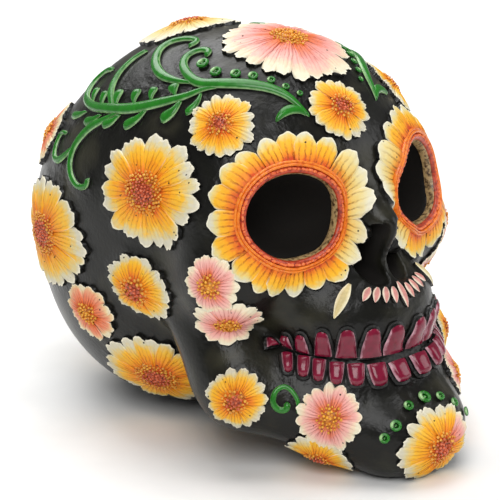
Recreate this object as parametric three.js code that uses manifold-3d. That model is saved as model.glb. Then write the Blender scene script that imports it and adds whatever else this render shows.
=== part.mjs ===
// A sugar skull ornament: resin castings of the cranium, face and lower jaw, set with
// moulded flowers, vines, beads and teeth. Millimetres, +Z up, the face looks along -Y.
import * as THREE from "three";
import { mergeVertices } from "three/addons/utils/BufferGeometryUtils.js";
import Module from "manifold-3d";

const wasm = await Module();
wasm.setup();

// The bare skull
const skull_width = 92;
const skull_length = 150;
const skull_height = 115;

// The castings and how they are cemented
const shell_wall = 5;
const glue_gap = 0.3;
const pour_hole_radius = 7;
const base_felt_radius = 12.5;
const chin_felt_half_width = 8.5;
const chin_felt_half_length = 4.6;
const felt_thickness = 1;

// Eye sockets and the flower round each
const eye_half_width = 15;
const eye_half_height = 12.8;
const eye_depth = 19;
const eye_rim_width = 3;
const eye_rim_height = 3;
const eye_petal_length = 9;
const eye_petal_height = 2.4;

// Nose opening
const nose_half_width = 5.2;
const nose_half_height = 6.5;
const nose_depth = 14;
const septum_thickness = 2;
const nose_petal_length = 4.4;
const nose_petal_width = 2;
const nose_petal_height = 1.2;
const nose_middle_petal_length = 7.5;
const nose_side_petal_length = 10.5;
const nose_side_petal_width = 3;

// Teeth
const tooth_gap = 1.5;
const upper_tooth_height = 10.4;
const lower_tooth_height = 9;
const tooth_proud = 2.8;
const mouth_gap = 0.9;
const gum_strip_radius = 2.6;

// Flowers, from tip to middle
const flower_height = 3;
const crown_flower_radius = 17.5;
const forehead_flower_radius = 8;
const chin_flower_radius = 12.5;
const back_crown_flower_radius = 12;
const rear_flower_radius = 14;
const occiput_flower_radius = 11;
const brow_flower_radius = 8.4;
const temple_flower_radius = 13.8;
const rear_side_flower_radius = 12.6;
const rear_salmon_flower_radius = 9;
const ear_flower_radius = 8.8;
const nape_flower_radius = 7.8;
const occiput_low_flower_radius = 14;
const jaw_hinge_flower_radius = 7.8;
const cheek_upper_flower_radius = 7.4;
const cheek_lower_flower_radius = 8.6;
const jaw_pink_flower_radius = 9.2;
const jaw_yellow_flower_radius = 8.8;

// Vines, curls and beads
const vine_half_width = 1.8;
const vine_half_height = 1.8;
const leaf_half_width = 2;
const curl_radius = 3.2;
const curl_half_width = 1;
const curl_half_height = 1.3;
const curl_clearance = 0.8;
const brow_bead_radius = 1.5;
const chin_bead_radius = 1.6;
const chin_bead_clearance = 3.6;
const bead_string_radius = 0.6;

// How far cuts run past what they cut, and how ornaments are laid on the skull
const cut_overrun = 12;
const seat_sink = 2;
const walk_step = 2.5;
const normal_reach = 3;
const surface_tolerance = 0.004;
const weld_distance = 0.0001;
const speck_size = 0.3;

// How the walk in to the surface is paced, as counts and a share of the distance left
const trace_steps = 160;
const trace_share = 0.8;
const settle_steps = 4;

// How finely the castings are faceted, as counts
const head_facet_rows = 8;
const hollow_facet_rows = 3;
const bowl_sides = 14;
const bowl_rows = 8;
const felt_sides = 20;
const plug_sides = 16;
const rod_sides = 4;
const leaf_rows = 3;
const tooth_sides = 6;
const gum_rows_per_tooth = 3;
const petal_sides = 7;
const petal_rows = 4;

// The skull's form is a set of rounded lumps and rods, each joined to those before it by
// a soft blend. Places and half sizes are shares of the width, length and height; blends
// and rod radii are shares of the width. The left half mirrors the right.
const braincase_shares = [
  { at: [0, 0.107, 0.574], half: [0.5, 0.387, 0.426], blend: 0 },
  { at: [0, 0, 0.678], half: [0.457, 0.24, 0.313], blend: 0.087 },
  { at: [0, 0.253, 0.478], half: [0.457, 0.327, 0.348], blend: 0.13 },
  { at: [0, 0.213, 0.313], half: [0.457, 0.3, 0.322], blend: 0.13 },
];
const face_shares = [
  { at: [0.652, -0.147, 0.678], half: [0.196, 0.12, 0.191], blend: 0.13, hollow: true },
  { at: [0.239, -0.093, 0.609], half: [0.261, 0.107, 0.2], blend: 0.087 },
  { at: [0.348, -0.127, 0.487], half: [0.152, 0.087, 0.104], blend: 0.098 },
  { from: [0.391, -0.08, 0.443], to: [0.435, 0.053, 0.435], ends: [0.065, 0.033], blend: 0.13 },
  { at: [0, -0.193, 0.383], half: [0.283, 0.167, 0.139], blend: 0.087 },
  { from: [0, -0.133, 0.748], to: [0, -0.273, 0.557], ends: [0.065, 0.049], blend: 0.076 },
];
const jaw_shares = [
  { at: [0, -0.36, 0.104], half: [0.163, 0.087, 0.104], blend: 0 },
  { from: [0.076, -0.353, 0.104], to: [0.337, -0.147, 0.2], ends: [0.13, 0.12], blend: 0.087 },
  { from: [0.337, -0.133, 0.209], to: [0.38, 0, 0.4], ends: [0.12, 0.087], blend: 0.087 },
  { from: [0.087, -0.267, 0.226], to: [0.304, -0.093, 0.243], ends: [0.13, 0.109], blend: 0.087 },
  { from: [0.35, -0.067, 0.4], to: [0.337, -0.113, 0.23], ends: [0.1, 0.11], blend: 0.076 },
  { at: [0, -0.2, 0.226], half: [0.261, 0.16, 0.13], blend: 0.065 },
];
const jaw_blend_share = 0.033;
const head_centre_shares = [0, 0.033, 0.478];

// The seam between the skull and the lower jaw seen from the side, as shares of the
// length and height: the mouth line, up the front of the ramus, over it and down behind.
const seam_shares = [
  [-0.65, 0.293],
  [-0.12, 0.304],
  [-0.06, 0.41],
  [0.05, 0.43],
  [0.045, 0.12],
  [-0.02, -0.12],
  [-0.65, -0.12],
];
const throat_half_width_share = 0.24;

// The seam between the face and the cranium stands just behind the eye sockets
const face_seam_share = -0.035;

// Places on the face: the eyes and nose as shares, teeth as degrees round the mouth
const eye_turn_degrees = 33.3;
const eye_rise_degrees = 22;
const eye_out_degrees = 10;
const nose_low_shares = [0.043, -0.307, 0.517];
const nose_high_shares = [0.022, -0.307, 0.565];
const nose_high_size_share = 0.85;
const mouth_centre_share = -0.167;
const tooth_turns = [8, 22.2, 36.5, 49.5, 60.5, 69.5, 77];
const tooth_height_shares = [1, 1, 0.98, 0.92, 0.84, 0.74, 0.62];
const base_centre_share = 0.213;
const chin_felt_share = -0.36;

// Finishes
const finish = {
  black_resin: { color: 0x23231f, roughness: 0.42 },
  yellow_petals: { color: 0xf0b21e, roughness: 0.6 },
  cream_petals: { color: 0xe8d9a0, roughness: 0.62 },
  pink_petals: { color: 0xe79a86, roughness: 0.6 },
  salmon_petals: { color: 0xe8915f, roughness: 0.6 },
  green_vine: { color: 0x2f8f3a, roughness: 0.45 },
  magenta_teeth: { color: 0x96173f, roughness: 0.25 },
  felt: { color: 0x1d1d1d, roughness: 0.95 },
};
for (const name of Object.keys(finish)) {
  finish[name] = new THREE.MeshStandardMaterial({ ...finish[name], metalness: 0, name });
}

// Form of the skull
const skull_size = [skull_width, skull_length, skull_height];
const radians = THREE.MathUtils.degToRad;

function in_skull(shares) {
  return new THREE.Vector3(...shares.map((share, axis) => share * skull_size[axis]));
}

function lump_from(shares) {
  const blend = shares.blend * skull_width;
  if (shares.from) {
    const ends = shares.ends.map((share) => share * skull_width);
    return { from: in_skull(shares.from), to: in_skull(shares.to), ends, blend };
  }
  return { at: in_skull(shares.at), half: in_skull(shares.half), blend, hollow: shares.hollow };
}

const braincase = braincase_shares.map(lump_from);
const face = face_shares.map(lump_from);
const jaw = jaw_shares.map(lump_from);

function soft_join(a, b, blend) {
  if (blend === 0) return Math.min(a, b);
  const overlap = Math.max(blend - Math.abs(a - b), 0) / blend;
  return Math.min(a, b) - (overlap * overlap * blend) / 4;
}

function lump_distance(x, y, z, lump) {
  if (lump.at) {
    const dx = x - lump.at.x;
    const dy = y - lump.at.y;
    const dz = z - lump.at.z;
    const { x: hx, y: hy, z: hz } = lump.half;
    const scaled = Math.hypot(dx / hx, dy / hy, dz / hz);
    const slope = Math.hypot(dx / (hx * hx), dy / (hy * hy), dz / (hz * hz));
    return slope === 0 ? -Math.min(hx, hy, hz) : (scaled * (scaled - 1)) / slope;
  }
  const along = lump.to.clone().sub(lump.from);
  const from = new THREE.Vector3(x, y, z).sub(lump.from);
  const share = THREE.MathUtils.clamp(from.dot(along) / along.lengthSq(), 0, 1);
  const radius = THREE.MathUtils.lerp(lump.ends[0], lump.ends[1], share);
  return from.addScaledVector(along, -share).length() - radius;
}

function lumps_distance(x, y, z, lumps, start) {
  let distance = start;
  for (const lump of lumps) {
    const next = lump_distance(x, y, z, lump);
    if (lump.hollow) distance = -soft_join(-distance, next, lump.blend);
    else distance = soft_join(distance, next, lump.blend);
  }
  return distance;
}

function braincase_distance(point) {
  return lumps_distance(Math.abs(point.x), point.y, point.z, braincase, Infinity);
}

function head_distance(point) {
  const x = Math.abs(point.x);
  const upper = lumps_distance(x, point.y, point.z, face, braincase_distance(point));
  const lower = lumps_distance(x, point.y, point.z, jaw, Infinity);
  return soft_join(upper, lower, jaw_blend_share * skull_width);
}

// Walks in along a ray from outside the skull to where the form reaches a level
function surface_point(origin, direction, level = 0, distance_at = head_distance) {
  const point = new THREE.Vector3();
  let reach = skull_length;
  for (let step = 0; step < trace_steps; step++) {
    point.copy(origin).addScaledVector(direction, reach);
    const distance = distance_at(point) - level;
    if (distance < surface_tolerance) break;
    reach -= distance * trace_share;
  }
  return point;
}

function surface_normal(point) {
  const normal = new THREE.Vector3();
  for (const axis of ["x", "y", "z"]) {
    const ahead = point.clone();
    const behind = point.clone();
    ahead[axis] += normal_reach;
    behind[axis] -= normal_reach;
    normal[axis] = head_distance(ahead) - head_distance(behind);
  }
  return normal.normalize();
}

// Turn is measured from the face towards the skull's right side, rise from level. They are
// true angles on a skull of these proportions, and follow the skull where it is changed.
const proportion_shares = [0.8, 1.304, 1];

function direction_of(turn, rise) {
  const flat = Math.cos(radians(rise));
  const drawn = [-Math.sin(radians(turn)) * flat, -Math.cos(radians(turn)) * flat, Math.sin(radians(rise))];
  const stretched = drawn.map((part, axis) => (part * skull_size[axis]) / proportion_shares[axis]);
  return new THREE.Vector3(...stretched).normalize();
}

const head_centre = in_skull(head_centre_shares);

function head_point(turn, rise) {
  return surface_point(head_centre, direction_of(turn, rise));
}

// Solids
function solid(geometry) {
  const bare = geometry.clone();
  bare.deleteAttribute("normal");
  bare.deleteAttribute("uv");
  const merged = mergeVertices(bare, weld_distance);
  const corners = [];
  for (let i = 0; i < merged.index.count; i += 3) {
    const [a, b, c] = merged.index.array.slice(i, i + 3);
    if (a !== b && b !== c && c !== a) corners.push(a, b, c);
  }
  return new wasm.Manifold(new wasm.Mesh({
    numProp: 3,
    vertProperties: new Float32Array(merged.attributes.position.array),
    triVerts: new Uint32Array(corners),
  }));
}

function geometry_from(body) {
  const mesh = body.getMesh();
  const geometry = new THREE.BufferGeometry();
  geometry.setAttribute("position", new THREE.BufferAttribute(mesh.vertProperties, 3));
  geometry.setIndex(new THREE.BufferAttribute(mesh.triVerts, 1));
  return geometry;
}

function mirrored(geometry) {
  const copy = geometry.clone();
  copy.scale(-1, 1, 1);
  const corners = copy.index.array;
  for (let i = 0; i < corners.length; i += 3) {
    [corners[i], corners[i + 1]] = [corners[i + 1], corners[i]];
  }
  return copy;
}

function joined(bodies) {
  return bodies.reduce((whole, body) => whole.add(body));
}

function moved_vertices(geometry, move) {
  const places = geometry.attributes.position;
  const vertex = new THREE.Vector3();
  for (let i = 0; i < places.count; i++) {
    vertex.fromBufferAttribute(places, i);
    places.setXYZ(i, ...move(vertex));
  }
  return geometry;
}

// A block between two corners
function block(low, high) {
  const size = high.clone().sub(low);
  const geometry = new THREE.BoxGeometry(size.x, size.y, size.z);
  const middle = low.clone().add(high).multiplyScalar(0.5);
  geometry.translate(middle.x, middle.y, middle.z);
  return solid(geometry);
}

// A rounded body whose every point lies out from the head's centre at one level
function head_body(level, facet_rows, distance_at) {
  const geometry = new THREE.IcosahedronGeometry(1, facet_rows);
  return solid(moved_vertices(geometry, (vertex) => {
    return surface_point(head_centre, vertex.normalize(), level, distance_at);
  }));
}

const far = skull_length;
const base_level = felt_thickness + glue_gap;
const below_base = block(new THREE.Vector3(-far, -far, -far), new THREE.Vector3(far, far, base_level));
const head = head_body(0, head_facet_rows, head_distance).subtract(below_base);
const head_and_glue = head_body(glue_gap, head_facet_rows, head_distance);

// Seats for ornaments: a frame on the skull, from which flat shapes are laid over it.
// Up is +Z, or +Y where the skull is nearly level.
const level_share = 0.9;

function seat_at(point, out) {
  const level = Math.abs(out.z) > level_share;
  const upright = level ? new THREE.Vector3(0, 1, 0) : new THREE.Vector3(0, 0, 1);
  const right = upright.cross(out).normalize();
  const up = out.clone().cross(right);
  return { point, out, right, up };
}

function head_seat(turn, rise) {
  const point = head_point(turn, rise);
  return seat_at(point, surface_normal(point));
}

// Moves a point near the skull straight out or in to a level of its form
function brought_to(point, level) {
  for (let step = 0; step < settle_steps; step++) {
    point.addScaledVector(surface_normal(point), level - head_distance(point));
  }
  return point;
}

// Walks over the skull from a seat, so many millimetres to the right and up of it
function walked(seat, right, up, height = 0) {
  const distance = Math.hypot(right, up);
  const steps = Math.ceil(distance / walk_step);
  const point = seat.point.clone();
  const heading = seat.right.clone().multiplyScalar(right).addScaledVector(seat.up, up).normalize();
  for (let step = 0; step < steps; step++) {
    point.addScaledVector(heading, distance / steps);
    const out = surface_normal(point);
    point.addScaledVector(out, -head_distance(point));
    heading.addScaledVector(out, -heading.dot(out)).normalize();
  }
  return brought_to(point, height);
}

// Lays a flat shape over the skull: X runs right, Y up and Z is the height off it
function laid(geometry, seat) {
  return moved_vertices(geometry, (vertex) => walked(seat, vertex.x, vertex.y, vertex.z));
}

// Cuts leave specks where two faces all but meet, and these are swept away
function swept(body) {
  const lumps = body.decompose().filter((lump) => lump.volume() > speck_size ** 3);
  return joined(lumps);
}

function seated(body) {
  return body.subtract(head_and_glue).subtract(below_base);
}

// A turned disc with its axis on Z, whose profile runs up from the underside's middle
function turned(profile, sides) {
  const points = profile.map(([radius, height]) => new THREE.Vector2(radius, height));
  return new THREE.LatheGeometry(points, sides).rotateX(Math.PI / 2);
}

// Draws every second spoke of a turned disc in, between the petals
function notched(geometry, petals, inner, notch_share, dip_share) {
  const places = geometry.attributes.position;
  for (let i = 0; i < places.count; i++) {
    const radius = Math.hypot(places.getX(i), places.getY(i));
    const spoke = Math.round((Math.atan2(places.getX(i), -places.getY(i)) / Math.PI) * petals);
    if (Math.abs(spoke) % 2 === 0 || radius <= inner) continue;
    const drawn = (inner + (radius - inner) * notch_share) / radius;
    const dip = places.getZ(i) > 0 ? dip_share : 1;
    places.setXYZ(i, places.getX(i) * drawn, places.getY(i) * drawn, places.getZ(i) * dip);
  }
  return geometry;
}

// Shares of a flower's radius and height
const flower_eye_share = 0.32;
const flower_eye_height_share = 0.85;
const flower_tip_height_share = 0.5;
const flower_notch_share = 0.78;
const flower_dip_share = 0.75;

function flower_body(seat, radius, petals) {
  const inner = radius * flower_eye_share;
  const disc = turned([
    [0, -seat_sink],
    [radius, -seat_sink],
    [radius, flower_height * flower_tip_height_share],
    [inner, flower_height * flower_eye_height_share],
    [0, flower_height],
  ], petals * 2);
  return solid(laid(notched(disc, petals, inner, flower_notch_share, flower_dip_share), seat));
}

// The room that a round ornament takes: a plug a glue gap wider than it
function flower_plug(seat, radius) {
  const corner = (radius + glue_gap) / Math.cos(Math.PI / plug_sides);
  const plug = turned([
    [0, -seat_sink * 2],
    [corner, -seat_sink * 2],
    [corner, flower_height * 2],
    [0, flower_height * 2],
  ], plug_sides);
  return solid(laid(plug, seat));
}

// A rod bent along a curve on the skull, seen from the centre for each of its points;
// widths gives its share of the full size
function run_along(curve, half_width, half_height, widths, rows, centre_for = () => head_centre) {
  const rod = new THREE.CylinderGeometry(1, 1, 1, rod_sides, rows);
  const frames = [];
  for (let row = 0; row <= rows; row++) {
    const along = row / rows;
    const seen = curve.getPoint(along);
    const centre = centre_for(seen);
    const point = surface_point(centre, seen.sub(centre).normalize());
    const out = surface_normal(point);
    const side = curve.getTangent(along).cross(out).normalize();
    frames.push({ point, out, side, width: widths(along) });
  }
  return solid(moved_vertices(rod, (vertex) => {
    const frame = frames[Math.round((vertex.y + 0.5) * rows)];
    const place = frame.point.clone().addScaledVector(frame.side, vertex.x * half_width * frame.width);
    return place.addScaledVector(frame.out, vertex.z * half_height * frame.width);
  }));
}

// The finished group, and its pieces by name
const skull = new THREE.Group();

function add_piece(name, geometry, material) {
  const mesh = new THREE.Mesh(geometry, material);
  mesh.name = name;
  skull.add(mesh);
}

function add_pair(name, body, material) {
  const right = geometry_from(body);
  add_piece(`${name}_right`, right, material);
  add_piece(`${name}_left`, mirrored(right), material);
}

// Lower jaw: the part of the head inside the seam
function offset_outline(points, distance) {
  return points.map((point, i) => {
    const before = points[(i + points.length - 1) % points.length];
    const after = points[(i + 1) % points.length];
    const normals = [point.clone().sub(before), after.clone().sub(point)].map((edge) => {
      return new THREE.Vector2(-edge.y, edge.x).normalize();
    });
    const spread = 1 + normals[0].dot(normals[1]);
    return point.clone().addScaledVector(normals[0].add(normals[1]), distance / spread);
  });
}

const seam = seam_shares.map(([y, z]) => new THREE.Vector2(y * skull_length, z * skull_height));
const throat_half_width = throat_half_width_share * skull_width;
const face_seam = face_seam_share * skull_length;

function throat_block(grow) {
  return block(
    new THREE.Vector3(-throat_half_width - grow, face_seam - grow, -far),
    new THREE.Vector3(throat_half_width + grow, far, far),
  );
}

function jaw_block(grow) {
  const outline = new THREE.Shape(offset_outline(seam, grow));
  const width = skull_width + cut_overrun;
  const slab = new THREE.ExtrudeGeometry(outline, { depth: width, bevelEnabled: false });
  slab.rotateX(Math.PI / 2);
  slab.rotateZ(Math.PI / 2);
  slab.translate(-width / 2, 0, 0);
  return solid(slab).subtract(throat_block(-grow));
}

const lower_jaw = head.intersect(jaw_block(0));

// Eye sockets: egg-shaped bowls, and the frame of each eye's rim
const eye_point = head_point(eye_turn_degrees, eye_rise_degrees);
const eye_seat = seat_at(eye_point, direction_of(eye_out_degrees, 0));

function eye_bowl(grow) {
  const bowl = new THREE.SphereGeometry(1, bowl_sides, bowl_rows);
  bowl.scale(eye_half_width + grow, eye_half_height + grow, eye_depth + grow);
  const { right, up, out, point } = eye_seat;
  bowl.applyMatrix4(new THREE.Matrix4().makeBasis(right, up, out).setPosition(point));
  return solid(bowl);
}

function both_sides(body) {
  return body.add(solid(mirrored(geometry_from(body))));
}

// Nose opening: a low and a high lobe on each side of the septum
function nose_lobe(shares, size_share, grow) {
  const lobe = new THREE.SphereGeometry(1, bowl_sides / 2, bowl_rows - 2);
  lobe.scale(nose_half_width * size_share + grow, nose_depth + grow, nose_half_height * size_share + grow);
  const place = in_skull(shares);
  lobe.translate(-place.x, place.y, place.z);
  return solid(lobe);
}

function nose_opening(grow) {
  const low = nose_lobe(nose_low_shares, 1, grow);
  const high = nose_lobe(nose_high_shares, nose_high_size_share, grow);
  const past_septum = block(
    new THREE.Vector3(-septum_thickness / 2 + grow, -far, -far),
    new THREE.Vector3(far, far, far),
  );
  return both_sides(low.add(high).subtract(past_septum));
}

// Inside: a hollow in the cranium, open towards the face, that keeps its wall from the jaw.
// The face is solid and closes it.
const base_y = base_centre_share * skull_length;
const pour_hole = new THREE.CylinderGeometry(pour_hole_radius, pour_hole_radius, far, felt_sides);
pour_hole.rotateX(Math.PI / 2);
pour_hole.translate(0, base_y, head_centre.z - far / 2);
const hollow = head_body(-shell_wall, hollow_facet_rows, braincase_distance)
  .subtract(jaw_block(shell_wall))
  .add(solid(pour_hole));
const before_seam = block(new THREE.Vector3(-far, -far, -far), new THREE.Vector3(far, face_seam, far));
const upper_head = head.subtract(jaw_block(glue_gap));
const cranium_shell = upper_head.subtract(before_seam.translate(0, glue_gap, 0)).subtract(hollow);
const face_casting = upper_head
  .intersect(before_seam)
  .subtract(both_sides(eye_bowl(0)))
  .subtract(nose_opening(0));

add_piece("cranium_shell", geometry_from(cranium_shell), finish.black_resin);
add_piece("face_casting", geometry_from(face_casting), finish.black_resin);
add_piece("lower_jaw", geometry_from(lower_jaw), finish.black_resin);

// Felt pads under the back of the skull and under the chin
function felt_pad(half_width, half_length, y) {
  const pad = new THREE.CylinderGeometry(1, 1, 1, felt_sides);
  pad.rotateX(Math.PI / 2);
  pad.scale(half_width, half_length, felt_thickness);
  pad.translate(0, y, felt_thickness / 2);
  return geometry_from(solid(pad));
}

const chin_y = chin_felt_share * skull_length;
add_piece("base_felt", felt_pad(base_felt_radius, base_felt_radius, base_y), finish.felt);
add_piece("chin_felt", felt_pad(chin_felt_half_width, chin_felt_half_length, chin_y), finish.felt);

// Teeth: a row of seven a side on a low strip of gum
function mouth_height(y) {
  const share = (y - seam[0].x) / (seam[1].x - seam[0].x);
  return THREE.MathUtils.lerp(seam[0].y, seam[1].y, share);
}

// Shares of a tooth: its flat front, how much narrower it is at the gum, and how far its
// corners are drawn out
const tooth_front_share = 0.72;
const tooth_gum_share = 0.68;
const tooth_corner_share = 1.12;

function tooth_body(seat, width, height, gum_up, grow) {
  const tooth = new THREE.CylinderGeometry(tooth_front_share, 1, 1, tooth_sides).rotateX(Math.PI / 2);
  const drawn = moved_vertices(tooth, (vertex) => {
    const squared = Math.abs(vertex.x) > Math.abs(vertex.y) ? tooth_corner_share : 1;
    const to_gum = (vertex.y * gum_up + 1) / 2;
    const narrow = THREE.MathUtils.lerp(1, tooth_gum_share, to_gum);
    vertex.x *= (squared * narrow * width) / 2;
    vertex.y *= (squared * height) / 2;
    vertex.z = vertex.z > 0 ? tooth_proud + grow : -seat_sink;
    return vertex;
  });
  return solid(laid(drawn, seat));
}

// The point inside the mouth that is level with a place on its rim
function mouth_axis(place) {
  return new THREE.Vector3(0, mouth_centre_share * skull_length, place.z);
}

const mouth_centre = mouth_axis(new THREE.Vector3(0, 0, seam[1].y));

function mouth_point(turn, offset) {
  const direction = direction_of(turn, 0);
  const rim = surface_point(mouth_centre, direction);
  rim.z = mouth_height(rim.y) + offset;
  return surface_point(mouth_axis(rim), direction);
}

// Where each tooth ends towards its neighbours, as degrees round the mouth
const last_turn = tooth_turns[tooth_turns.length - 1];
const turns_after = [...tooth_turns.slice(1), 2 * last_turn - tooth_turns[tooth_turns.length - 2]];
const tooth_ends = tooth_turns.map((turn, i) => [
  i ? (tooth_turns[i - 1] + turn) / 2 : 0,
  (turn + turns_after[i]) / 2,
]);
const tooth_widths = tooth_ends.map(([from, to]) => {
  return mouth_point(from, 0).distanceTo(mouth_point(to, 0)) - tooth_gap;
});

function tooth_row(full_height, gum_up, grow) {
  const heights = tooth_height_shares.map((share) => full_height * share);
  const levels = heights.map((height) => gum_up * (mouth_gap + height) / 2);
  const points = tooth_turns.map((turn, i) => mouth_point(turn, levels[i]));
  const teeth = points.map((point, i) => {
    const seat = seat_at(point, surface_normal(point));
    return tooth_body(seat, tooth_widths[i] + 2 * grow, heights[i] + 2 * grow, gum_up, grow);
  });
  const row_end = mouth_point(tooth_ends[tooth_ends.length - 1][1], levels[levels.length - 1]);
  const right_run = [...points, row_end];
  const left_run = right_run.map((point) => new THREE.Vector3(-point.x, point.y, point.z));
  const middle_point = mouth_point(0, levels[0]);
  const gum_line = new THREE.CatmullRomCurve3([...right_run.reverse(), middle_point, ...left_run]);
  const rows = gum_rows_per_tooth * 2 * tooth_turns.length;
  const radius = gum_strip_radius + grow;
  const strip = run_along(gum_line, radius, radius, () => 1, rows, mouth_axis);
  return both_sides(joined(teeth)).add(strip);
}

function both_rows(grow) {
  return [tooth_row(upper_tooth_height, 1, grow), tooth_row(lower_tooth_height, -1, grow)];
}

const [upper_row, lower_row] = both_rows(0);
const upper_teeth = seated(upper_row).subtract(jaw_block(mouth_gap / 2));
const lower_teeth = seated(lower_row).intersect(jaw_block(-mouth_gap / 2));
const teeth_room = joined(both_rows(glue_gap));
add_piece("upper_tooth_row", geometry_from(upper_teeth), finish.magenta_teeth);
add_piece("lower_tooth_row", geometry_from(lower_teeth), finish.magenta_teeth);

// Vines: stems, curls and leaves run through points given as [turn, rise] degrees
const stems = [
  [[22, 55.5], [34, 58.5], [51, 60], [69, 60.3], [84, 62.5], [99, 65.5], [105, 70], [97, 73], [90, 71]],
  [[66, 60], [82, 56.9], [98, 52.3], [113, 46.7], [131, 40.2], [146, 37.5], [151, 42], [147, 46]],
  [[90, 61], [105, 59], [120, 59.5], [131, 61.5], [137, 66], [133, 70.5], [124, 69]],
  [[121, 43], [128, 47.5], [135, 50], [142, 55], [146, 59]],
  [[122, 43.5], [128, 37], [132, 30], [130.5, 22.5], [124, 18.4], [117, 20.5], [117.5, 24.5]],
  [[131, 29], [138, 29.5], [143, 33], [142.5, 37]],
];
const leaves = [
  [[28, 57], [30, 53], [36, 50.5]],
  [[76, 59], [84, 52.6], [92, 50.4]],
  [[88, 56], [97, 48.6], [106, 44.6]],
  [[100, 52], [108, 44], [117, 38.8]],
  [[88, 56], [98, 57], [108, 55.4]],
  [[104, 50.5], [113, 51.5], [122, 49.6]],
];
const stem_tip_share = 0.45;
const leaf_tip_share = 0.15;

function vine_curve(points) {
  return new THREE.CatmullRomCurve3(points.map(([turn, rise]) => head_point(turn, rise)));
}

function vine_body(grow) {
  const stem_width = (along) => THREE.MathUtils.lerp(1, stem_tip_share, along);
  const leaf_width = (along) => Math.max(leaf_tip_share, Math.sin(along * Math.PI));
  const half_height = vine_half_height + grow;
  const stem_bodies = stems.map((points) => {
    const rows = points.length + 1;
    return run_along(vine_curve(points), vine_half_width + grow, half_height, stem_width, rows);
  });
  const leaf_bodies = leaves.map((points) => {
    return run_along(vine_curve(points), leaf_half_width + grow, half_height, leaf_width, leaf_rows);
  });
  return joined([...stem_bodies, ...leaf_bodies]);
}

const vine_room = vine_body(glue_gap);

// Eye flowers: a beaded rim and a ring of petals that meet at the bridge of the nose
const eye_petal_count = 18;
const eye_rim_top_share = 0.5;
const eye_petal_fold_share = 0.5;
const eye_petal_tip_height_share = 0.5;
const eye_notch_share = 0.72;

function eye_radius(angle) {
  return 1 / Math.hypot(Math.cos(angle) / eye_half_width, Math.sin(angle) / eye_half_height);
}

// Widens a ring drawn from the rim outwards so that it starts on the socket's edge
function round_the_eye(geometry) {
  return moved_vertices(geometry, (vertex) => {
    const angle = Math.atan2(vertex.y, vertex.x);
    const offset = Math.hypot(vertex.x, vertex.y) - eye_half_height;
    const radius = eye_radius(angle) + offset;
    return vertex.set(radius * Math.cos(angle), radius * Math.sin(angle), vertex.z);
  });
}

function eye_ring(profile, sides, petals) {
  const ring = turned(profile.map(([offset, height]) => [eye_half_height + offset, height]), sides);
  const petal_start = eye_half_height + glue_gap + eye_rim_width;
  const drawn = petals ? notched(ring, petals, petal_start, eye_notch_share, 1) : ring;
  return solid(laid(round_the_eye(drawn), eye_seat));
}

const eye_flower = eye_ring([
  [glue_gap, -seat_sink],
  [glue_gap + eye_rim_width + eye_petal_length, -seat_sink],
  [glue_gap + eye_rim_width + eye_petal_length, eye_petal_height * eye_petal_tip_height_share],
  [glue_gap + eye_rim_width + eye_petal_length * eye_petal_fold_share, eye_petal_height],
  [glue_gap + eye_rim_width, eye_petal_height],
  [glue_gap + eye_rim_width * eye_rim_top_share, eye_rim_height],
  [glue_gap, eye_petal_height],
  [glue_gap, -seat_sink],
], eye_petal_count * 2, eye_petal_count);
const eye_room = eye_ring([
  [0, -seat_sink * 2],
  [glue_gap * 2 + eye_rim_width + eye_petal_length, -seat_sink * 2],
  [glue_gap * 2 + eye_rim_width + eye_petal_length, eye_rim_height * 2],
  [0, eye_rim_height * 2],
  [0, -seat_sink * 2],
], eye_petal_count * 2, 0);
const past_middle = block(new THREE.Vector3(-glue_gap / 2, -far, -far), new THREE.Vector3(far, far, far));
add_pair("eye_sunflower", seated(eye_flower).subtract(past_middle), finish.yellow_petals);

// Curl on the jaw, under the sixth lower tooth: a spiral drawn in from its tail
const curl_turn_count = 1.3;
const curl_end_share = 0.3;
const curl_tail_share = 0.6;
const curl_point_count = 10;
const curl_tooth = 5;
const curl_drop = lower_tooth_height * tooth_height_shares[curl_tooth] + curl_clearance + curl_half_width;
const curl_point = mouth_point(tooth_turns[curl_tooth], -mouth_gap / 2 - curl_drop - curl_radius);
const curl_seat = seat_at(curl_point, surface_normal(curl_point));

const spiral = [];
for (let i = 0; i <= curl_point_count; i++) {
  const along = i / curl_point_count;
  const radius = curl_radius * THREE.MathUtils.lerp(1, curl_end_share, along);
  const angle = along * curl_turn_count * 2 * Math.PI;
  spiral.push(walked(curl_seat, radius * Math.cos(angle), radius * Math.sin(angle)));
}
const curl_width = (along) => THREE.MathUtils.lerp(curl_tail_share, 1, along);
const curl_curve = new THREE.CatmullRomCurve3(spiral);
const curl = run_along(curl_curve, curl_half_width, curl_half_height, curl_width, curl_point_count);
add_pair("jaw_curl", seated(curl), finish.green_vine);

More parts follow.
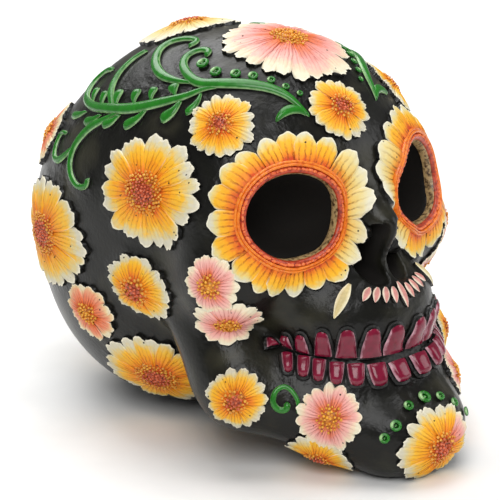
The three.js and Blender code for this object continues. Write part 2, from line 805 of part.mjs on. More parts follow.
// Flowers, those on top first: name, turn, rise, radius, petals and finish. The paired
// ones are on both sides.
const chin_rise_degrees = -32.5;
const middle_flowers = [
  ["crown_flower", 0, 79, crown_flower_radius, 14, "pink_petals"],
  ["forehead_flower", 4, 52, forehead_flower_radius, 10, "yellow_petals"],
  ["chin_flower", 0, chin_rise_degrees, chin_flower_radius, 12, "yellow_petals"],
  ["back_crown_flower", 180, 66, back_crown_flower_radius, 11, "cream_petals"],
  ["rear_flower", 180, 2, rear_flower_radius, 10, "yellow_petals"],
  ["occiput_flower", 180, -34, occiput_flower_radius, 10, "cream_petals"],
];
const paired_flowers = [
  ["brow_flower", 60.6, 47, brow_flower_radius, 10, "yellow_petals"],
  ["temple_flower", 86.8, 27.1, temple_flower_radius, 13, "yellow_petals"],
  ["rear_side_flower", 141.5, -0.5, rear_side_flower_radius, 12, "yellow_petals"],
  ["rear_salmon_flower", 157.5, 19.5, rear_salmon_flower_radius, 10, "salmon_petals"],
  ["ear_flower", 89.9, -6.3, ear_flower_radius, 10, "yellow_petals"],
  ["nape_flower", 119, -20.7, nape_flower_radius, 9, "salmon_petals"],
  ["occiput_low_flower", 106.5, -47.4, occiput_low_flower_radius, 12, "yellow_petals"],
  ["jaw_hinge_flower", 50.9, -29.6, jaw_hinge_flower_radius, 9, "yellow_petals"],
  ["cheek_upper_flower", 57, 0.5, cheek_upper_flower_radius, 9, "pink_petals"],
  ["cheek_lower_flower", 54.3, -9.5, cheek_lower_flower_radius, 9, "pink_petals"],
  ["jaw_pink_flower", 25.5, -31, jaw_pink_flower_radius, 11, "pink_petals"],
  ["jaw_yellow_flower", 28, -42.5, jaw_yellow_flower_radius, 9, "yellow_petals"],
];

// Rooms already taken, each with the place and reach that say which flowers it touches
const rooms = [];
const vines_and_teeth = both_sides(vine_room).add(teeth_room);

function take_room(body, point, reach) {
  rooms.push({ body, point, reach });
}

function take_rooms(body, point, reach) {
  take_room(body, point, reach);
  take_room(solid(mirrored(geometry_from(body))), new THREE.Vector3(-point.x, point.y, point.z), reach);
}

function flower_in_its_room(seat, radius, petals) {
  const near = rooms.filter((room) => room.point.distanceTo(seat.point) < room.reach + radius);
  const body = seated(flower_body(seat, radius, petals)).subtract(vines_and_teeth);
  return swept(near.reduce((whole, room) => whole.subtract(room.body), body));
}

take_rooms(eye_room, eye_point, eye_half_width + eye_rim_width + eye_petal_length + glue_gap);
take_rooms(flower_plug(curl_seat, curl_radius + curl_half_width), curl_point, curl_radius + curl_half_width);
for (const [name, turn, rise, radius, petals, tint] of middle_flowers) {
  const seat = head_seat(turn, rise);
  add_piece(name, geometry_from(flower_in_its_room(seat, radius, petals)), finish[tint]);
  take_room(flower_plug(seat, radius), seat.point, radius + glue_gap);
}
for (const [name, turn, rise, radius, petals, tint] of paired_flowers) {
  const seat = head_seat(turn, rise);
  add_pair(name, flower_in_its_room(seat, radius, petals), finish[tint]);
  take_rooms(flower_plug(seat, radius), seat.point, radius + glue_gap);
}

add_pair("vine_scroll", seated(vine_body(0)), finish.green_vine);

// Petals below the nose: a fan of nine, and a longer one at each side
function petal_body(seat, length, width, height, lean) {
  const petal = new THREE.SphereGeometry(1, petal_sides, petal_rows).scale(width / 2, length / 2, height);
  petal.rotateZ(radians(lean));
  return geometry_from(seated(solid(laid(petal, seat))).subtract(eye_room));
}

const nose_petal_turns = [-11.4, -8.6, -5.8, -3, 0, 3, 5.8, 8.6, 11.4];
const nose_petal_rise_degrees = -4.5;
const nose_petal_lift_share = 0.11;
const nose_petal_lean_share = -3.2;
const side_petal_turn_degrees = 18.6;
const side_petal_lean_degrees = -24;
nose_petal_turns.forEach((turn, i) => {
  const seat = head_seat(turn, nose_petal_rise_degrees + Math.abs(turn) * nose_petal_lift_share);
  const length = turn === 0 ? nose_middle_petal_length : nose_petal_length;
  const petal = petal_body(seat, length, nose_petal_width, nose_petal_height, turn * nose_petal_lean_share);
  add_piece(`nose_petal_${i + 1}`, petal, finish.pink_petals);
});
const side_petal = petal_body(
  head_seat(side_petal_turn_degrees, nose_petal_rise_degrees),
  nose_side_petal_length,
  nose_side_petal_width,
  nose_petal_height,
  side_petal_lean_degrees,
);
add_piece("nose_side_petal_right", side_petal, finish.cream_petals);
add_piece("nose_side_petal_left", mirrored(side_petal), finish.cream_petals);

// Bead rows: small beads on a string, over the brow and round the chin flower
function bead_row(points, radius) {
  const beads = points.map((point) => {
    const bead = new THREE.IcosahedronGeometry(radius, 0);
    const place = surface_point(head_centre, point.clone().sub(head_centre).normalize());
    return solid(bead.translate(place.x, place.y, place.z));
  });
  const line = new THREE.CatmullRomCurve3(points);
  const string = run_along(line, bead_string_radius, bead_string_radius, () => 1, points.length);
  return seated(joined([string, ...beads]));
}

const brow_bead_turns = [22.3, 29.5, 37.5, 47.5, 59, 71.5, 84];
const brow_bead_rises = [60.2, 61.4, 62.6, 63.9, 64.6, 65.2, 67];
const brow_beads = brow_bead_turns.map((turn, i) => head_point(turn, brow_bead_rises[i]));
add_pair("brow_bead_row", bead_row(brow_beads, brow_bead_radius), finish.green_vine);

const chin_bead_turns = [-66, -44, -22, 0, 22, 44, 66];
const chin_seat = head_seat(0, chin_rise_degrees);
const chin_beads = chin_bead_turns.map((turn) => {
  const radius = chin_flower_radius + chin_bead_clearance;
  return walked(chin_seat, radius * Math.sin(radians(turn)), radius * Math.cos(radians(turn)));
});
add_piece("chin_bead_row", geometry_from(bead_row(chin_beads, chin_bead_radius)), finish.green_vine);

// The origin is under the middle of the whole ornament, on the surface that it stands on
const bounds = new THREE.Box3().setFromObject(skull);
const middle = bounds.getCenter(new THREE.Vector3());
skull.position.set(-middle.x, -middle.y, -bounds.min.z);

export default skull;
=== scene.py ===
"""A sugar skull ornament in black resin, with moulded and painted flowers, vines and teeth.

Run as a script in Blender 4.5. Metres, +Z up, and the face looks along -Y.
"""

import math
import random

import bpy
import numpy as np
from bpy.props import FloatProperty, FloatVectorProperty, PointerProperty
from bpy.types import Operator, Panel, PropertyGroup
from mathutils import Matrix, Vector
from mathutils.kdtree import KDTree


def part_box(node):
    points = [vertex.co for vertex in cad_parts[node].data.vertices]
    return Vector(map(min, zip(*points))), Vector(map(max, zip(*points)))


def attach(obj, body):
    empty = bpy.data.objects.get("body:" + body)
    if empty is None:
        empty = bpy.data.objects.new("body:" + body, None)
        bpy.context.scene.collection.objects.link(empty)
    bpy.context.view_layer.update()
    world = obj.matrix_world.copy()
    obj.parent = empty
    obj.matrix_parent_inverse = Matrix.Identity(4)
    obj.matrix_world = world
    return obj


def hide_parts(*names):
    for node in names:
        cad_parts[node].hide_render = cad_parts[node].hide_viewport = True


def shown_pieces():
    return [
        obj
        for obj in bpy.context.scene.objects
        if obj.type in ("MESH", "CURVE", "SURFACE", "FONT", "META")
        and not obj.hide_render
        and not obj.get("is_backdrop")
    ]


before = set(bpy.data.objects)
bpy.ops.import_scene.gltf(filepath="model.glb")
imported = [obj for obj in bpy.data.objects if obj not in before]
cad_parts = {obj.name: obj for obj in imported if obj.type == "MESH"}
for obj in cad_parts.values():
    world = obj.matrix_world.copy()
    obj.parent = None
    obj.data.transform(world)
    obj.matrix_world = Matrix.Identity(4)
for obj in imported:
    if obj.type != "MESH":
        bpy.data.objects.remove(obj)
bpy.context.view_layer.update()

bl_info = {
    "name": "Sugar skull",
    "version": (1, 0, 0),
    "blender": (4, 5, 0),
    "location": "3D View > Sidebar > Sugar skull",
    "description": "Models and paints a resin sugar skull round its construction model",
    "category": "Object",
}

MM = 0.001

# The bare skull, and the lumps and rods that make its form. Places and half sizes are
# shares of the width, length and height; blends and rod radii are shares of the width.
SKULL_SIZE = np.array([92, 150, 115]) * MM
BRAINCASE_SHARES = [
    {"at": (0, 0.107, 0.574), "half": (0.5, 0.387, 0.426), "blend": 0},
    {"at": (0, 0, 0.678), "half": (0.457, 0.24, 0.313), "blend": 0.087},
    {"at": (0, 0.253, 0.478), "half": (0.457, 0.327, 0.348), "blend": 0.13},
    {"at": (0, 0.213, 0.313), "half": (0.457, 0.3, 0.322), "blend": 0.13},
]
FACE_SHARES = [
    {"at": (0.652, -0.147, 0.678), "half": (0.196, 0.12, 0.191), "blend": 0.13, "hollow": True},
    {"at": (0.05, -0.347, 0.635), "half": (0.2, 0.1, 0.14), "blend": 0.087, "hollow": True},
    {"at": (0.239, -0.093, 0.609), "half": (0.261, 0.107, 0.2), "blend": 0.087},
    {"at": (0.348, -0.127, 0.487), "half": (0.152, 0.087, 0.104), "blend": 0.098},
    {"from": (0.391, -0.08, 0.443), "to": (0.435, 0.053, 0.435), "ends": (0.065, 0.033), "blend": 0.13},
    {"at": (0, -0.193, 0.383), "half": (0.283, 0.167, 0.139), "blend": 0.087},
    {"from": (0, -0.133, 0.748), "to": (0, -0.273, 0.557), "ends": (0.065, 0.049), "blend": 0.076},
    {"from": (0, -0.182, 0.725), "to": (0, -0.3, 0.6), "ends": (0.058, 0.046), "blend": 0.06},
]
JAW_SHARES = [
    {"at": (0, -0.36, 0.104), "half": (0.163, 0.087, 0.104), "blend": 0},
    {"from": (0.076, -0.353, 0.104), "to": (0.337, -0.147, 0.2), "ends": (0.13, 0.12), "blend": 0.087},
    {"from": (0.337, -0.133, 0.209), "to": (0.38, 0, 0.4), "ends": (0.12, 0.087), "blend": 0.087},
    {"from": (0.087, -0.267, 0.226), "to": (0.304, -0.093, 0.243), "ends": (0.13, 0.109), "blend": 0.087},
    {"from": (0.35, -0.067, 0.4), "to": (0.337, -0.113, 0.23), "ends": (0.1, 0.11), "blend": 0.076},
    {"at": (0, -0.2, 0.226), "half": (0.261, 0.16, 0.13), "blend": 0.065},
]
JAW_BLEND_SHARE = 0.033
HEAD_CENTRE_SHARES = (0, 0.033, 0.478)
BASE_CENTRE_SHARE = 0.213

# The skull stands in the frame where its round felt pad is
FELT_LOW, FELT_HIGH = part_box("base_felt")
SKULL_SHIFT = np.array([0, (FELT_LOW.y + FELT_HIGH.y) / 2 - BASE_CENTRE_SHARE * SKULL_SIZE[1], 0])
BASE_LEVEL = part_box("cranium_shell")[0].z

# The mouth line seen from the side, as shares of the length and height, and how far along the
# skull the middle of the mouth is
MOUTH_LINE_SHARES = ((-0.43, 0.278), (-0.12, 0.311))
MOUTH_CENTRE_SHARE = -0.167

# Teeth of one side from the middle back: turn in degrees round the mouth, shares of the full
# height and of the room for it, and millimetres down from the mouth line
UPPER_TEETH = [
    (9, 1, 1.04, 0), (23.5, 1, 1, 0), (37.5, 0.98, 1, 0), (51, 0.88, 0.97, 0),
    (63.8, 0.7, 0.9, 0), (74.5, 0.58, 0.74, 0), (83.5, 0.34, 0.75, 0),
]
LOWER_TEETH = [
    (8, 1, 1, 0.4), (21.5, 0.97, 1, 0.1), (33, 0.92, 1, -0.1), (43.2, 0.93, 1, -0.2),
    (53, 0.95, 1.04, -0.5), (61.8, 0.92, 1.1, -0.7), (70.8, 0.85, 1.3, -0.9),
]

# Degrees of room behind the last tooth, how much a tooth narrows to the gum, how round it is
# there, how far its edges roll in, how far the gum stands off the jaw and out from the tooth,
# and how many cells each way they are meshed in
LAST_TOOTH_SPAN = 4
UPPER_TAPER = 0.13
LOWER_TAPER = 0.09
TOOTH_ROUND = 0.34
TOOTH_ROLL = 0.34
GUM_PROUD = 1.1 * MM
GUM_WIDTH = 0.7 * MM
TOOTH_CELLS = 10
GUM_CELLS = 8

# Eyes: the direction of each from the head's middle, and how far out it looks, in degrees
EYE_TURN = 32.4
EYE_RISE = 22.6
EYE_TURN_OUT = 10

# Eye flowers: petals, the height of those on top, the share of it that those below have, how
# wide their roots are, where they are pale in radians from the top towards the nose, beads on
# the rim, the gap between the two flowers, and the segments and sides of the rim's rings
EYE_PETALS = 20
EYE_PETAL_HEIGHT = 2.3 * MM
EYE_PETAL_UNDER = 0.78
EYE_PETAL_ROOT = 0.78
EYE_PALE_PETALS = (0.7, 2.5)
EYE_BEADS = 66
EYE_FLOWER_GAP = 0.2 * MM
EYE_RING_CELLS = (96, 10)

# Each nostril is a low and a high lobe, placed in shares of the skull and cut from the front
NOSE_LOW_SHARES = (0.043, -0.307, 0.517)
NOSE_HIGH_SHARES = (0.022, -0.307, 0.565)
NOSE_HIGH_SIZE_SHARE = 0.85
FORWARD = np.array([0, -1.0, 0])

# Nose petals: turns round the face, their rise in its middle and how it and their lean grow to
# the sides, all in degrees; sizes in millimetres; and the side petal's length, width and lean
NOSE_PETAL_TURNS = (-11.4, -8.6, -5.8, -3, 0, 3, 5.8, 8.6, 11.4)
NOSE_PETAL_RISE = -4.5
NOSE_PETAL_LIFT_SHARE = 0.11
NOSE_PETAL_LEAN_SHARE = -3.2
NOSE_PETAL_LENGTH = 4.6
NOSE_MIDDLE_PETAL_LENGTH = 7.5
NOSE_PETAL_WIDTH = 2.2
NOSE_PETAL_HEIGHT = 1.3 * MM
NOSE_SIDE_TURN = 18.6
NOSE_SIDE_PETAL = (10.5, 3.2, -24)

# Walking over the skull from a seat, and tracing in to its surface
WALK_STEP = 2 * MM
NORMAL_REACH = 3 * MM
TRACE_TOLERANCE = 0.003 * MM
TRACE_STEPS = 90
TRACE_SHARE = 0.85
SETTLE_STEPS = 3
LEVEL_SHARE = 0.9

# How deep ornaments reach into the skull, how far their feet spread, and the angle in degrees
# from which an edge stays sharp
SINK = 1.2 * MM
FOOT_SPREAD = 0.2 * MM
PETAL_FOOT_SPREAD = 0.25 * MM
SMOOTH_DEGREES = 50
TOOTH_SMOOTH_DEGREES = 40

# Flowers: name, turn and rise of the middle in degrees, radius in millimetres, how much wider
# than tall, petals, finish, and its height over the skull as a share of the full height
MIDDLE_FLOWERS = [
    ("crown_flower", 0, 79, 19.2, 1, 22, "pink", 1),
    ("forehead_flower", 5.5, 52, 9.6, 1.05, 16, "yellow", 1),
    ("chin_flower", 1.5, -31.4, 12, 1.12, 18, "yellow", 1),
    ("back_crown_flower", 180, 62.5, 15.5, 1.05, 18, "cream", 1),
    ("rear_flower", 180, 2, 16, 1, 19, "yellow", 1),
    ("occiput_flower", 180, -34, 12.5, 1, 17, "cream", 0.9),
]
PAIRED_FLOWERS = [
    ("brow_flower", 59.9, 48.2, 10, 1, 17, "yellow", 1),
    ("temple_flower", 86.8, 26.8, 16.6, 1.24, 19, "yellow", 1),
    ("rear_side_flower", 138, -0.4, 16.8, 1.5, 21, "yellow", 1),
    ("rear_salmon_flower", 157.5, 19.5, 10.5, 1.1, 15, "salmon", 1),
    ("ear_flower", 91.6, -7.6, 10.2, 1.34, 16, "yellow", 1),
    ("nape_flower", 119.3, -20.8, 9.3, 1.12, 14, "salmon", 1),
    ("occiput_low_flower", 104.5, -47.2, 16.2, 1.16, 20, "yellow", 0.9),
    ("jaw_hinge_flower", 50.9, -30, 9.1, 1, 15, "yellow", 1),
    ("cheek_upper_flower", 58, 2.2, 8.6, 0.95, 14, "pink", 1),
    ("cheek_lower_flower", 54.5, -11.6, 9.6, 1.05, 13, "pink", 0.75),
    ("jaw_pink_flower", 24.8, -31.1, 9.7, 1, 16, "pink", 1),
    ("jaw_yellow_flower", 25.6, -42.6, 10.4, 1, 15, "yellow", 0.8),
]

# A flower: where its petals start and its granular middle ends, as shares of the radius, how
# the petals crowd each other, the share of the height that those below have, how wide their
# roots are, and where the chin flower's are pink in radians from the top to the skull's left
FLOWER_INNER = 0.2
FLOWER_MIDDLE = 0.36
CROWN_MIDDLE = 0.27
PETAL_CROWDING = 0.86
PETAL_UNDER = 0.8
PETAL_ROOT = 0.3
CHIN_BLUSH = (0.7, 1.5)

# A flower's middle: the inner mound's share of the outer one, their feet and tops as shares of
# the height, how far out the granules go, their spacing in their radii, and their levels
INNER_MOUND = 0.6
MOUND_FOOT = 0.5
OUTER_MOUND_TOP = 0.98
INNER_MOUND_TOP = 1.12
GRANULE_REACH = 1.02
GRANULE_SPACING = 1.3
GRANULE_LEVELS = (0.86, 1.16)

# A petal: how finely it is meshed, and what shapes it, as shares of its length, width or height
PETAL_COLUMNS = 10
PETAL_ROWS = 9
PETAL_GROOVES = 4
PETAL_WIDEST = 0.75
PETAL_NARROWING = 0.12
PETAL_SWAY = 0.14
PETAL_ARC = 0.95
PETAL_ARC_WIDTH = 0.96
PETAL_LOBES = 0.022
PETAL_SKEW = 0.04
PETAL_RAGGED_TIP = 0.004
PETAL_RAGGED_SIDE = 0.02
PETAL_LEAN = 0.1
PETAL_RIDGES = 0.06
PETAL_EDGE_DROP = 0.16

# Vines as (turn, rise) degrees: stems, leaves that hang from a stem with their fat end out,
# short ones above it with their fat end first, and crescents; half widths in millimetres
STEMS = [
    ([(21.7, 50.9), (24.9, 53.8), (30.1, 57.4), (37.8, 59.9), (48.7, 61.2), (65.3, 61.1), (77.9, 60.5),
      (89.3, 62.2), (100.9, 64.8), (107, 67.3), (107.5, 69.8), (102.5, 71.9), (94.5, 72.1),
      (91.4, 70.2)], 1.9),
    ([(84, 60.2), (97, 59.6), (109, 59.4), (120.1, 59.9), (129.8, 61), (138, 62.8), (142, 65.8), (140, 69.5),
      (132, 72.4), (123.5, 72.4), (121.5, 70)], 1.7),
    ([(66, 60), (73.8, 58.8), (83.6, 55.4), (96.1, 51.9), (110.1, 47.5), (124.7, 42.5), (135.8, 38.6),
      (145, 37.2), (151, 39.5), (151.8, 43.5), (148, 47)], 1.9),
    ([(121, 43.4), (126.3, 44.4), (132.6, 46.3), (138.3, 49.6), (142.5, 54), (144.5, 58.5)], 1.4),
    ([(117.5, 44), (122.8, 39.6), (128.8, 33.9), (131.6, 27.5), (130.6, 22.9), (127.6, 19.9), (123.1, 18.6),
      (119, 20.1), (118.6, 22.8)], 1.5),
    ([(132, 27.6), (134.8, 23.4), (138, 20.2), (141.4, 19.5), (144.2, 21.6), (145, 25), (141.8, 26.8)], 1.2),
]
HANGING_LEAVES = [
    ([(74.5, 57.6), (74.4, 54.2), (77.6, 50.4)], 1.1),
    ([(83.5, 54.2), (85, 50.6), (89.5, 47.2)], 1.8),
    ([(101.5, 49), (104, 45.4), (109.5, 41.6)], 1.6),
    ([(116, 43.8), (118, 40.6), (121.8, 38)], 1.4),
    ([(127, 39.6), (129.5, 36.6), (133.4, 34.2)], 1.4),
    ([(137.4, 36), (140.4, 33.4), (144.4, 31)], 1.3),
]
UPRIGHT_LEAVES = [
    ([(95.2, 58.6), (92.4, 57), (88.4, 55)], 2),
    ([(105.6, 55.8), (104.6, 53.4), (101.4, 51)], 1.6),
    ([(116, 52.6), (114.4, 50.2), (111, 47.8)], 1.9),
    ([(126.6, 48.6), (124.2, 46.2), (120.8, 44)], 1.9),
    ([(134.6, 44.6), (132.4, 42.4), (129.6, 40.6)], 1.6),
    ([(142.6, 42), (140.6, 40.2), (137.6, 38.8)], 1.5),
]
CRESCENTS = [([(22.6, 51.4), (26, 53), (30.4, 53.2), (34.2, 52), (37, 50)], 1.4)]

# Beads in the same directions, with their radii in millimetres, the cells of a bead's ring, and
# its own radius, its thickness and the radius of its dot as shares of the bead's radius
BROW_BEADS = [(23, 58.2), (29.6, 60.6), (37.2, 63), (48, 64.4), (59, 64.9), (72.5, 65), (86.7, 67.2)]
BROW_BEAD_RADII = (0.9, 1.1, 1.2, 1.45, 1.6, 1.75, 1.9)
CHIN_BEADS = [
    (13.8, -30.3), (11.2, -28.1), (6.7, -25.9), (1.3, -25.7), (-3.3, -25.8), (-6.6, -26.8), (-11, -29.4),
]
CHIN_BEAD_RADII = (1.5, 1.65, 1.5, 2, 1.4, 1.4, 1.4)
BEAD_RING_CELLS = (20, 8)
BEAD_RING = 0.7
BEAD_RING_THICKNESS = 0.3
BEAD_DOT = 0.27

# The curl on the jaw in the same directions, its half width in millimetres and its height
JAW_CURL = [
    (32.9, -32), (32.8, -30), (34.2, -28.6), (36.7, -28), (39.3, -28.8), (40, -30.6), (38.4, -31.9),
    (36.2, -31.6), (35.9, -30.3),
]
CURL_HALF_WIDTH = 0.95
CURL_HEIGHT = 1.3 * MM

# How finely vines are drawn and meshed, and the half width from which they are at full height
CURVE_STEPS = 12
RIBBON_SPACING = 0.6 * MM
RIBBON_COLUMNS = 8
RIBBON_FULL_WIDTH = 1.5 * MM

# Each petal finish: the part's slot, the colour of its grooves, where its colours stand from
# root to tip, and those colours
OPEN_STOPS = (0.02, 0.2, 0.42, 0.64, 0.82, 0.95)
PINK_STOPS = (0.02, 0.18, 0.42, 0.64, 0.82, 0.95)
EYE_STOPS = (0.02, 0.14, 0.34, 0.6, 0.8, 0.95)
PETALS = {
    "yellow": ("yellow_petals", "#a64c0a", OPEN_STOPS, "#d8541a #ee861a #f6a81a #f3bd38 #dccb92 #d5cfb8"),
    "sun": ("yellow_petals", "#9c400a", EYE_STOPS, "#cf4a1c #ea7a1c #f6a51a #f4b92c #e3cf86 #d8d4bd"),
    "sun_pale": ("yellow_petals", "#8a5418", EYE_STOPS, "#dd7a22 #eaa53a #ecc468 #e9d48e #e6dbae #e4dfc6"),
    "cream": ("cream_petals", "#8a5a1c", OPEN_STOPS, "#d98b2e #e2b04c #e3c878 #e2d29c #e3dabb #e2dcc8"),
    "pink": ("pink_petals", "#a8423a", PINK_STOPS, "#de6e2c #e8815f #eaa097 #eeb9ac #eed4b6 #ebe2c6"),
    "salmon": ("salmon_petals", "#9a3a20", OPEN_STOPS, "#d9601a #e6743e #e88460 #e8a07a #e8ca98 #e6dab8"),
}

# Granular finishes: the paint and a darker tone of painted shade for between the granules, as codes or as
# names in the panel
GRANULES = {
    "dome_red": ("#bd5230", "#8f3a20"),
    "dome_ochre": ("#d88c2a", "#b4601c"),
    "rim_orange": ("#ee8626", "#d8641c"),
    "rim_red": ("#c04424", "#8a2a16"),
    "rim_bead": ("#ec7a3e", "#d0552c"),
    "lip_tan": ("#b7996a", "#4a3420"),
    "granule_yellow": ("#f2b23a", "#d87c20"),
    "granule_red": ("granule_red", "#a8421f"),
    "granule_ochre": ("granule_ochre", "#cc7c2a"),
}

# Brushed finishes: material, paint and edge colour as codes or as names in the panel, where the
# edge starts and is full, how much of it shows, and roughness
# The edge colour is dry-brushed paint and partly a painted highlight on the teeth and vines
ENAMELS = {
    "vine": ("gloss_enamel_green", "green", "pale_green", 0.64, 0.95, 0.9, 0.24),
    "tooth": ("gloss_enamel_magenta", "magenta", "pale_pink", 0.82, 1, 0.8, 0.17),
    "nose": ("acrylic_pink_cream_edge", "#dc938a", "#efe3cc", 0.45, 0.85, 1, 0.5),
    "nose_cream": ("acrylic_cream_edge", "#ddc98e", "#efe6c4", 0.35, 0.9, 1, 0.5),
}

# Materials made so far, each under the key of its finish
MATERIALS = {}

BALL_SUBDIVISIONS = 7
CUTTER_CELLS = (64, 32)
SMOOTH_SHARE = 0.5
SMOOTH_ROUNDS = 3
CLEAN_FOOT = 2 * MM
# How far beside an ornament the painted shade reaches
NOOK_REACH = 2.6 * MM
HOLLOW_REACH = 1.5 * MM

# Soft lights round the middle of the stage: name, place and size in metres, and watts
STAGE_MIDDLE = (0, 0, 0.06)
LIGHTS = (
    ("key_light", (-0.75, -0.7, 0.95), 0.8, 9.8),
    ("fill_light", (0.8, -0.75, 0.5), 0.7, 3.5),
    ("top_light", (0.05, 0.1, 1.2), 0.9, 8.2),
    ("back_light", (0.25, 0.8, 0.95), 0.8, 7.5),
)

# The photograph's camera: its (turn, rise) degrees and distance from the stage's middle, the
# sensor's width in millimetres, and the picture's width, focal length and middle in pixels
CAMERA_DIRECTION = (44, 17)
CAMERA_DISTANCE = 0.65
SENSOR_WIDTH = 36
PHOTO_SIZE = 500
PHOTO_FOCAL = 2230
PHOTO_MIDDLE = (272, 222)


def linear(code):
    """A colour from its sRGB hex code, in the linear values that shaders take."""
    shares = [int(code[i:i + 2], 16) / 255 for i in (1, 3, 5)]
    return tuple(v / 12.92 if v <= 0.04045 else ((v + 0.055) / 1.055) ** 2.4 for v in shares) + (1.0,)


def colour_of(key):
    """A colour from its hex code, or from its name in the panel."""
    return linear(key) if key.startswith("#") else getattr(bpy.context.scene.skull_colours, key)


def colour_property(name, description, code):
    return FloatVectorProperty(
        name=name, description=description, subtype="COLOR", size=4, min=0, max=1, default=linear(code)
    )


def length_property(name, description, millimetres):
    return FloatProperty(name=name, description=description, unit="LENGTH", min=0, default=millimetres * MM)


class SkullSizes(PropertyGroup):
    """Sizes of the casting and of the ornaments on it."""

    voxel: length_property("Casting grain", "How finely the casting's surface is meshed", 0.8)
    flower_height: length_property("Flower height", "How far a flower stands off the skull", 2.4)
    granule: length_property("Granule radius", "Radius of a granule in a flower's middle", 0.42)
    eye_half_width: length_property("Eye half width", "Half the width of an eye socket", 13.6)
    eye_half_height: length_property("Eye half height", "Half the height of an eye socket", 11.9)
    eye_depth: length_property("Eye depth", "Depth of an eye socket's bowl", 19)
    eye_rim: length_property("Eye rim width", "Width of the rim round an eye socket", 3.2)
    eye_petal: length_property("Eye petal length", "Length of the longest petals round an eye socket", 10.6)
    nose_half_width: length_property("Nose half width", "Half the width of a nostril", 5.2)
    nose_half_height: length_property("Nose half height", "Half the height of a nostril", 6.5)
    nose_depth: length_property("Nose depth", "Depth of the nose opening", 14)
    septum: length_property("Septum", "Thickness of the wall between the nostrils", 2)
    upper_tooth: length_property("Upper tooth height", "Height of an upper front tooth", 10.6)
    upper_gap: length_property("Upper tooth gap", "Gap between the widest parts of two upper teeth", 1)
    lower_tooth: length_property("Lower tooth height", "Height of a lower front tooth", 6.6)
    lower_gap: length_property("Lower tooth gap", "Gap between the widest parts of two lower teeth", 0.5)
    tooth_proud: length_property("Tooth depth", "How far a tooth stands off the jaw", 2.6)
    mouth_gap: length_property("Mouth gap", "Gap between the two rows of teeth", 0.3)
    vine_height: length_property("Vine height", "How far a vine stands off the skull", 1.6)


class SkullColours(PropertyGroup):
    """Paints of the casting and of the ornaments on it."""

    # Black is painted shade beside the ornaments
    black: colour_property("Black", "Paint of the skull beside the ornaments and in the hollows", "#11100f")
    charcoal: colour_property("Charcoal", "Paint of the open skull", "#12120e")
    # Olive is partly real dry-brushing and partly a painted sheen
    olive: colour_property("Olive", "Faint brushed sheen on the open skull", "#39372a")
    green: colour_property("Green", "Paint of vines and beads", "#217a1a")
    # Pale green is dry-brushed paint and partly a painted highlight
    pale_green: colour_property("Pale green", "Dry-brushed edges of vines and beads", "#a8d092")
    magenta: colour_property("Magenta", "Enamel of the teeth", "#7d0f30")
    # Pale pink is dry-brushed paint and partly a painted highlight
    pale_pink: colour_property("Pale pink", "Dry-brushed edges of the teeth", "#e3b4c0")
    # Cream is dry-brushed paint and partly a painted highlight
    cream: colour_property("Cream", "Dry-brushed edges of the petals", "#f3edd8")
    granule_red: colour_property("Granule red", "Middle granules of a flower", "#dc6e46")
    granule_ochre: colour_property("Granule ochre", "Outer granules of a flower", "#e8aa3c")


# Form of the skull

def in_skull(shares):
    return np.array(shares) * SKULL_SIZE + SKULL_SHIFT


def lump_from(shares):
    lump = {"blend": shares["blend"] * SKULL_SIZE[0], "hollow": shares.get("hollow", False)}
    if "at" in shares:
        lump["at"] = in_skull(shares["at"])
        lump["half"] = np.array(shares["half"]) * SKULL_SIZE
    else:
        lump["from"] = in_skull(shares["from"])
        lump["to"] = in_skull(shares["to"])
        lump["ends"] = np.array(shares["ends"]) * SKULL_SIZE[0]
    return lump


BRAINCASE = [lump_from(shares) for shares in BRAINCASE_SHARES]
FACE = [lump_from(shares) for shares in FACE_SHARES]
JAW = [lump_from(shares) for shares in JAW_SHARES]
HEAD_CENTRE = in_skull(HEAD_CENTRE_SHARES)
MOUTH_CENTRE = in_skull((0, MOUTH_CENTRE_SHARE, MOUTH_LINE_SHARES[1][1]))


def length_of(vectors):
    return np.sqrt(np.einsum("ij,ij->i", vectors, vectors))


def soft_join(a, b, blend):
    if blend == 0:
        return np.minimum(a, b)
    overlap = np.maximum(blend - np.abs(a - b), 0) / blend
    return np.minimum(a, b) - overlap * overlap * blend / 4


def lump_distance(points, lump):
    if "at" in lump:
        offset = (points - lump["at"]) / lump["half"]
        scaled = length_of(offset)
        slope = length_of(offset / lump["half"])
        return scaled * (scaled - 1) / np.maximum(slope, 1e-9)
    along = lump["to"] - lump["from"]
    offset = points - lump["from"]
    share = np.clip(offset @ along / (along @ along), 0, 1)
    radius = lump["ends"][0] + share * (lump["ends"][1] - lump["ends"][0])
    return length_of(offset - share[:, None] * along) - radius


def lumps_distance(points, lumps, distance):
    for lump in lumps:
        beside = lump_distance(points, lump)
        if lump["hollow"]:
            distance = -soft_join(-distance, beside, lump["blend"])
        else:
            distance = soft_join(distance, beside, lump["blend"])
    return distance


def head_distance(points):
    """Distance of each point from the bare skull, negative inside it."""
    half = points.copy()
    half[:, 0] = np.abs(half[:, 0])
    outside = np.full(len(half), 1e3)
    upper = lumps_distance(half, FACE, lumps_distance(half, BRAINCASE, outside))
    lower = lumps_distance(half, JAW, outside)
    return soft_join(upper, lower, JAW_BLEND_SHARE * SKULL_SIZE[0])


def outward(points):
    """The direction out of the skull at each point."""
    slopes = []
    for axis in range(3):
        step = np.zeros(3)
        step[axis] = NORMAL_REACH
        slopes.append(head_distance(points + step) - head_distance(points - step))
    out = np.array(slopes).T
    return out / length_of(out)[:, None]


def surface_points(origin, directions):
    """Where rays from a point inside the skull leave it."""
    reach = np.full(len(directions), SKULL_SIZE[1])
    live = np.arange(len(directions))
    for _ in range(TRACE_STEPS):
        beside = head_distance(origin + directions[live] * reach[live, None])
        reach[live] -= beside * TRACE_SHARE
        live = live[beside > TRACE_TOLERANCE]
        if not len(live):
            break
    return origin + directions * reach[:, None]


def directions_of(pairs):
    """Directions from (turn, rise) degrees: turn goes from the face to the skull's right."""
    turn, rise = np.radians(np.array(pairs, float)).T
    return np.array([-np.sin(turn) * np.cos(rise), -np.cos(turn) * np.cos(rise), np.sin(rise)]).T


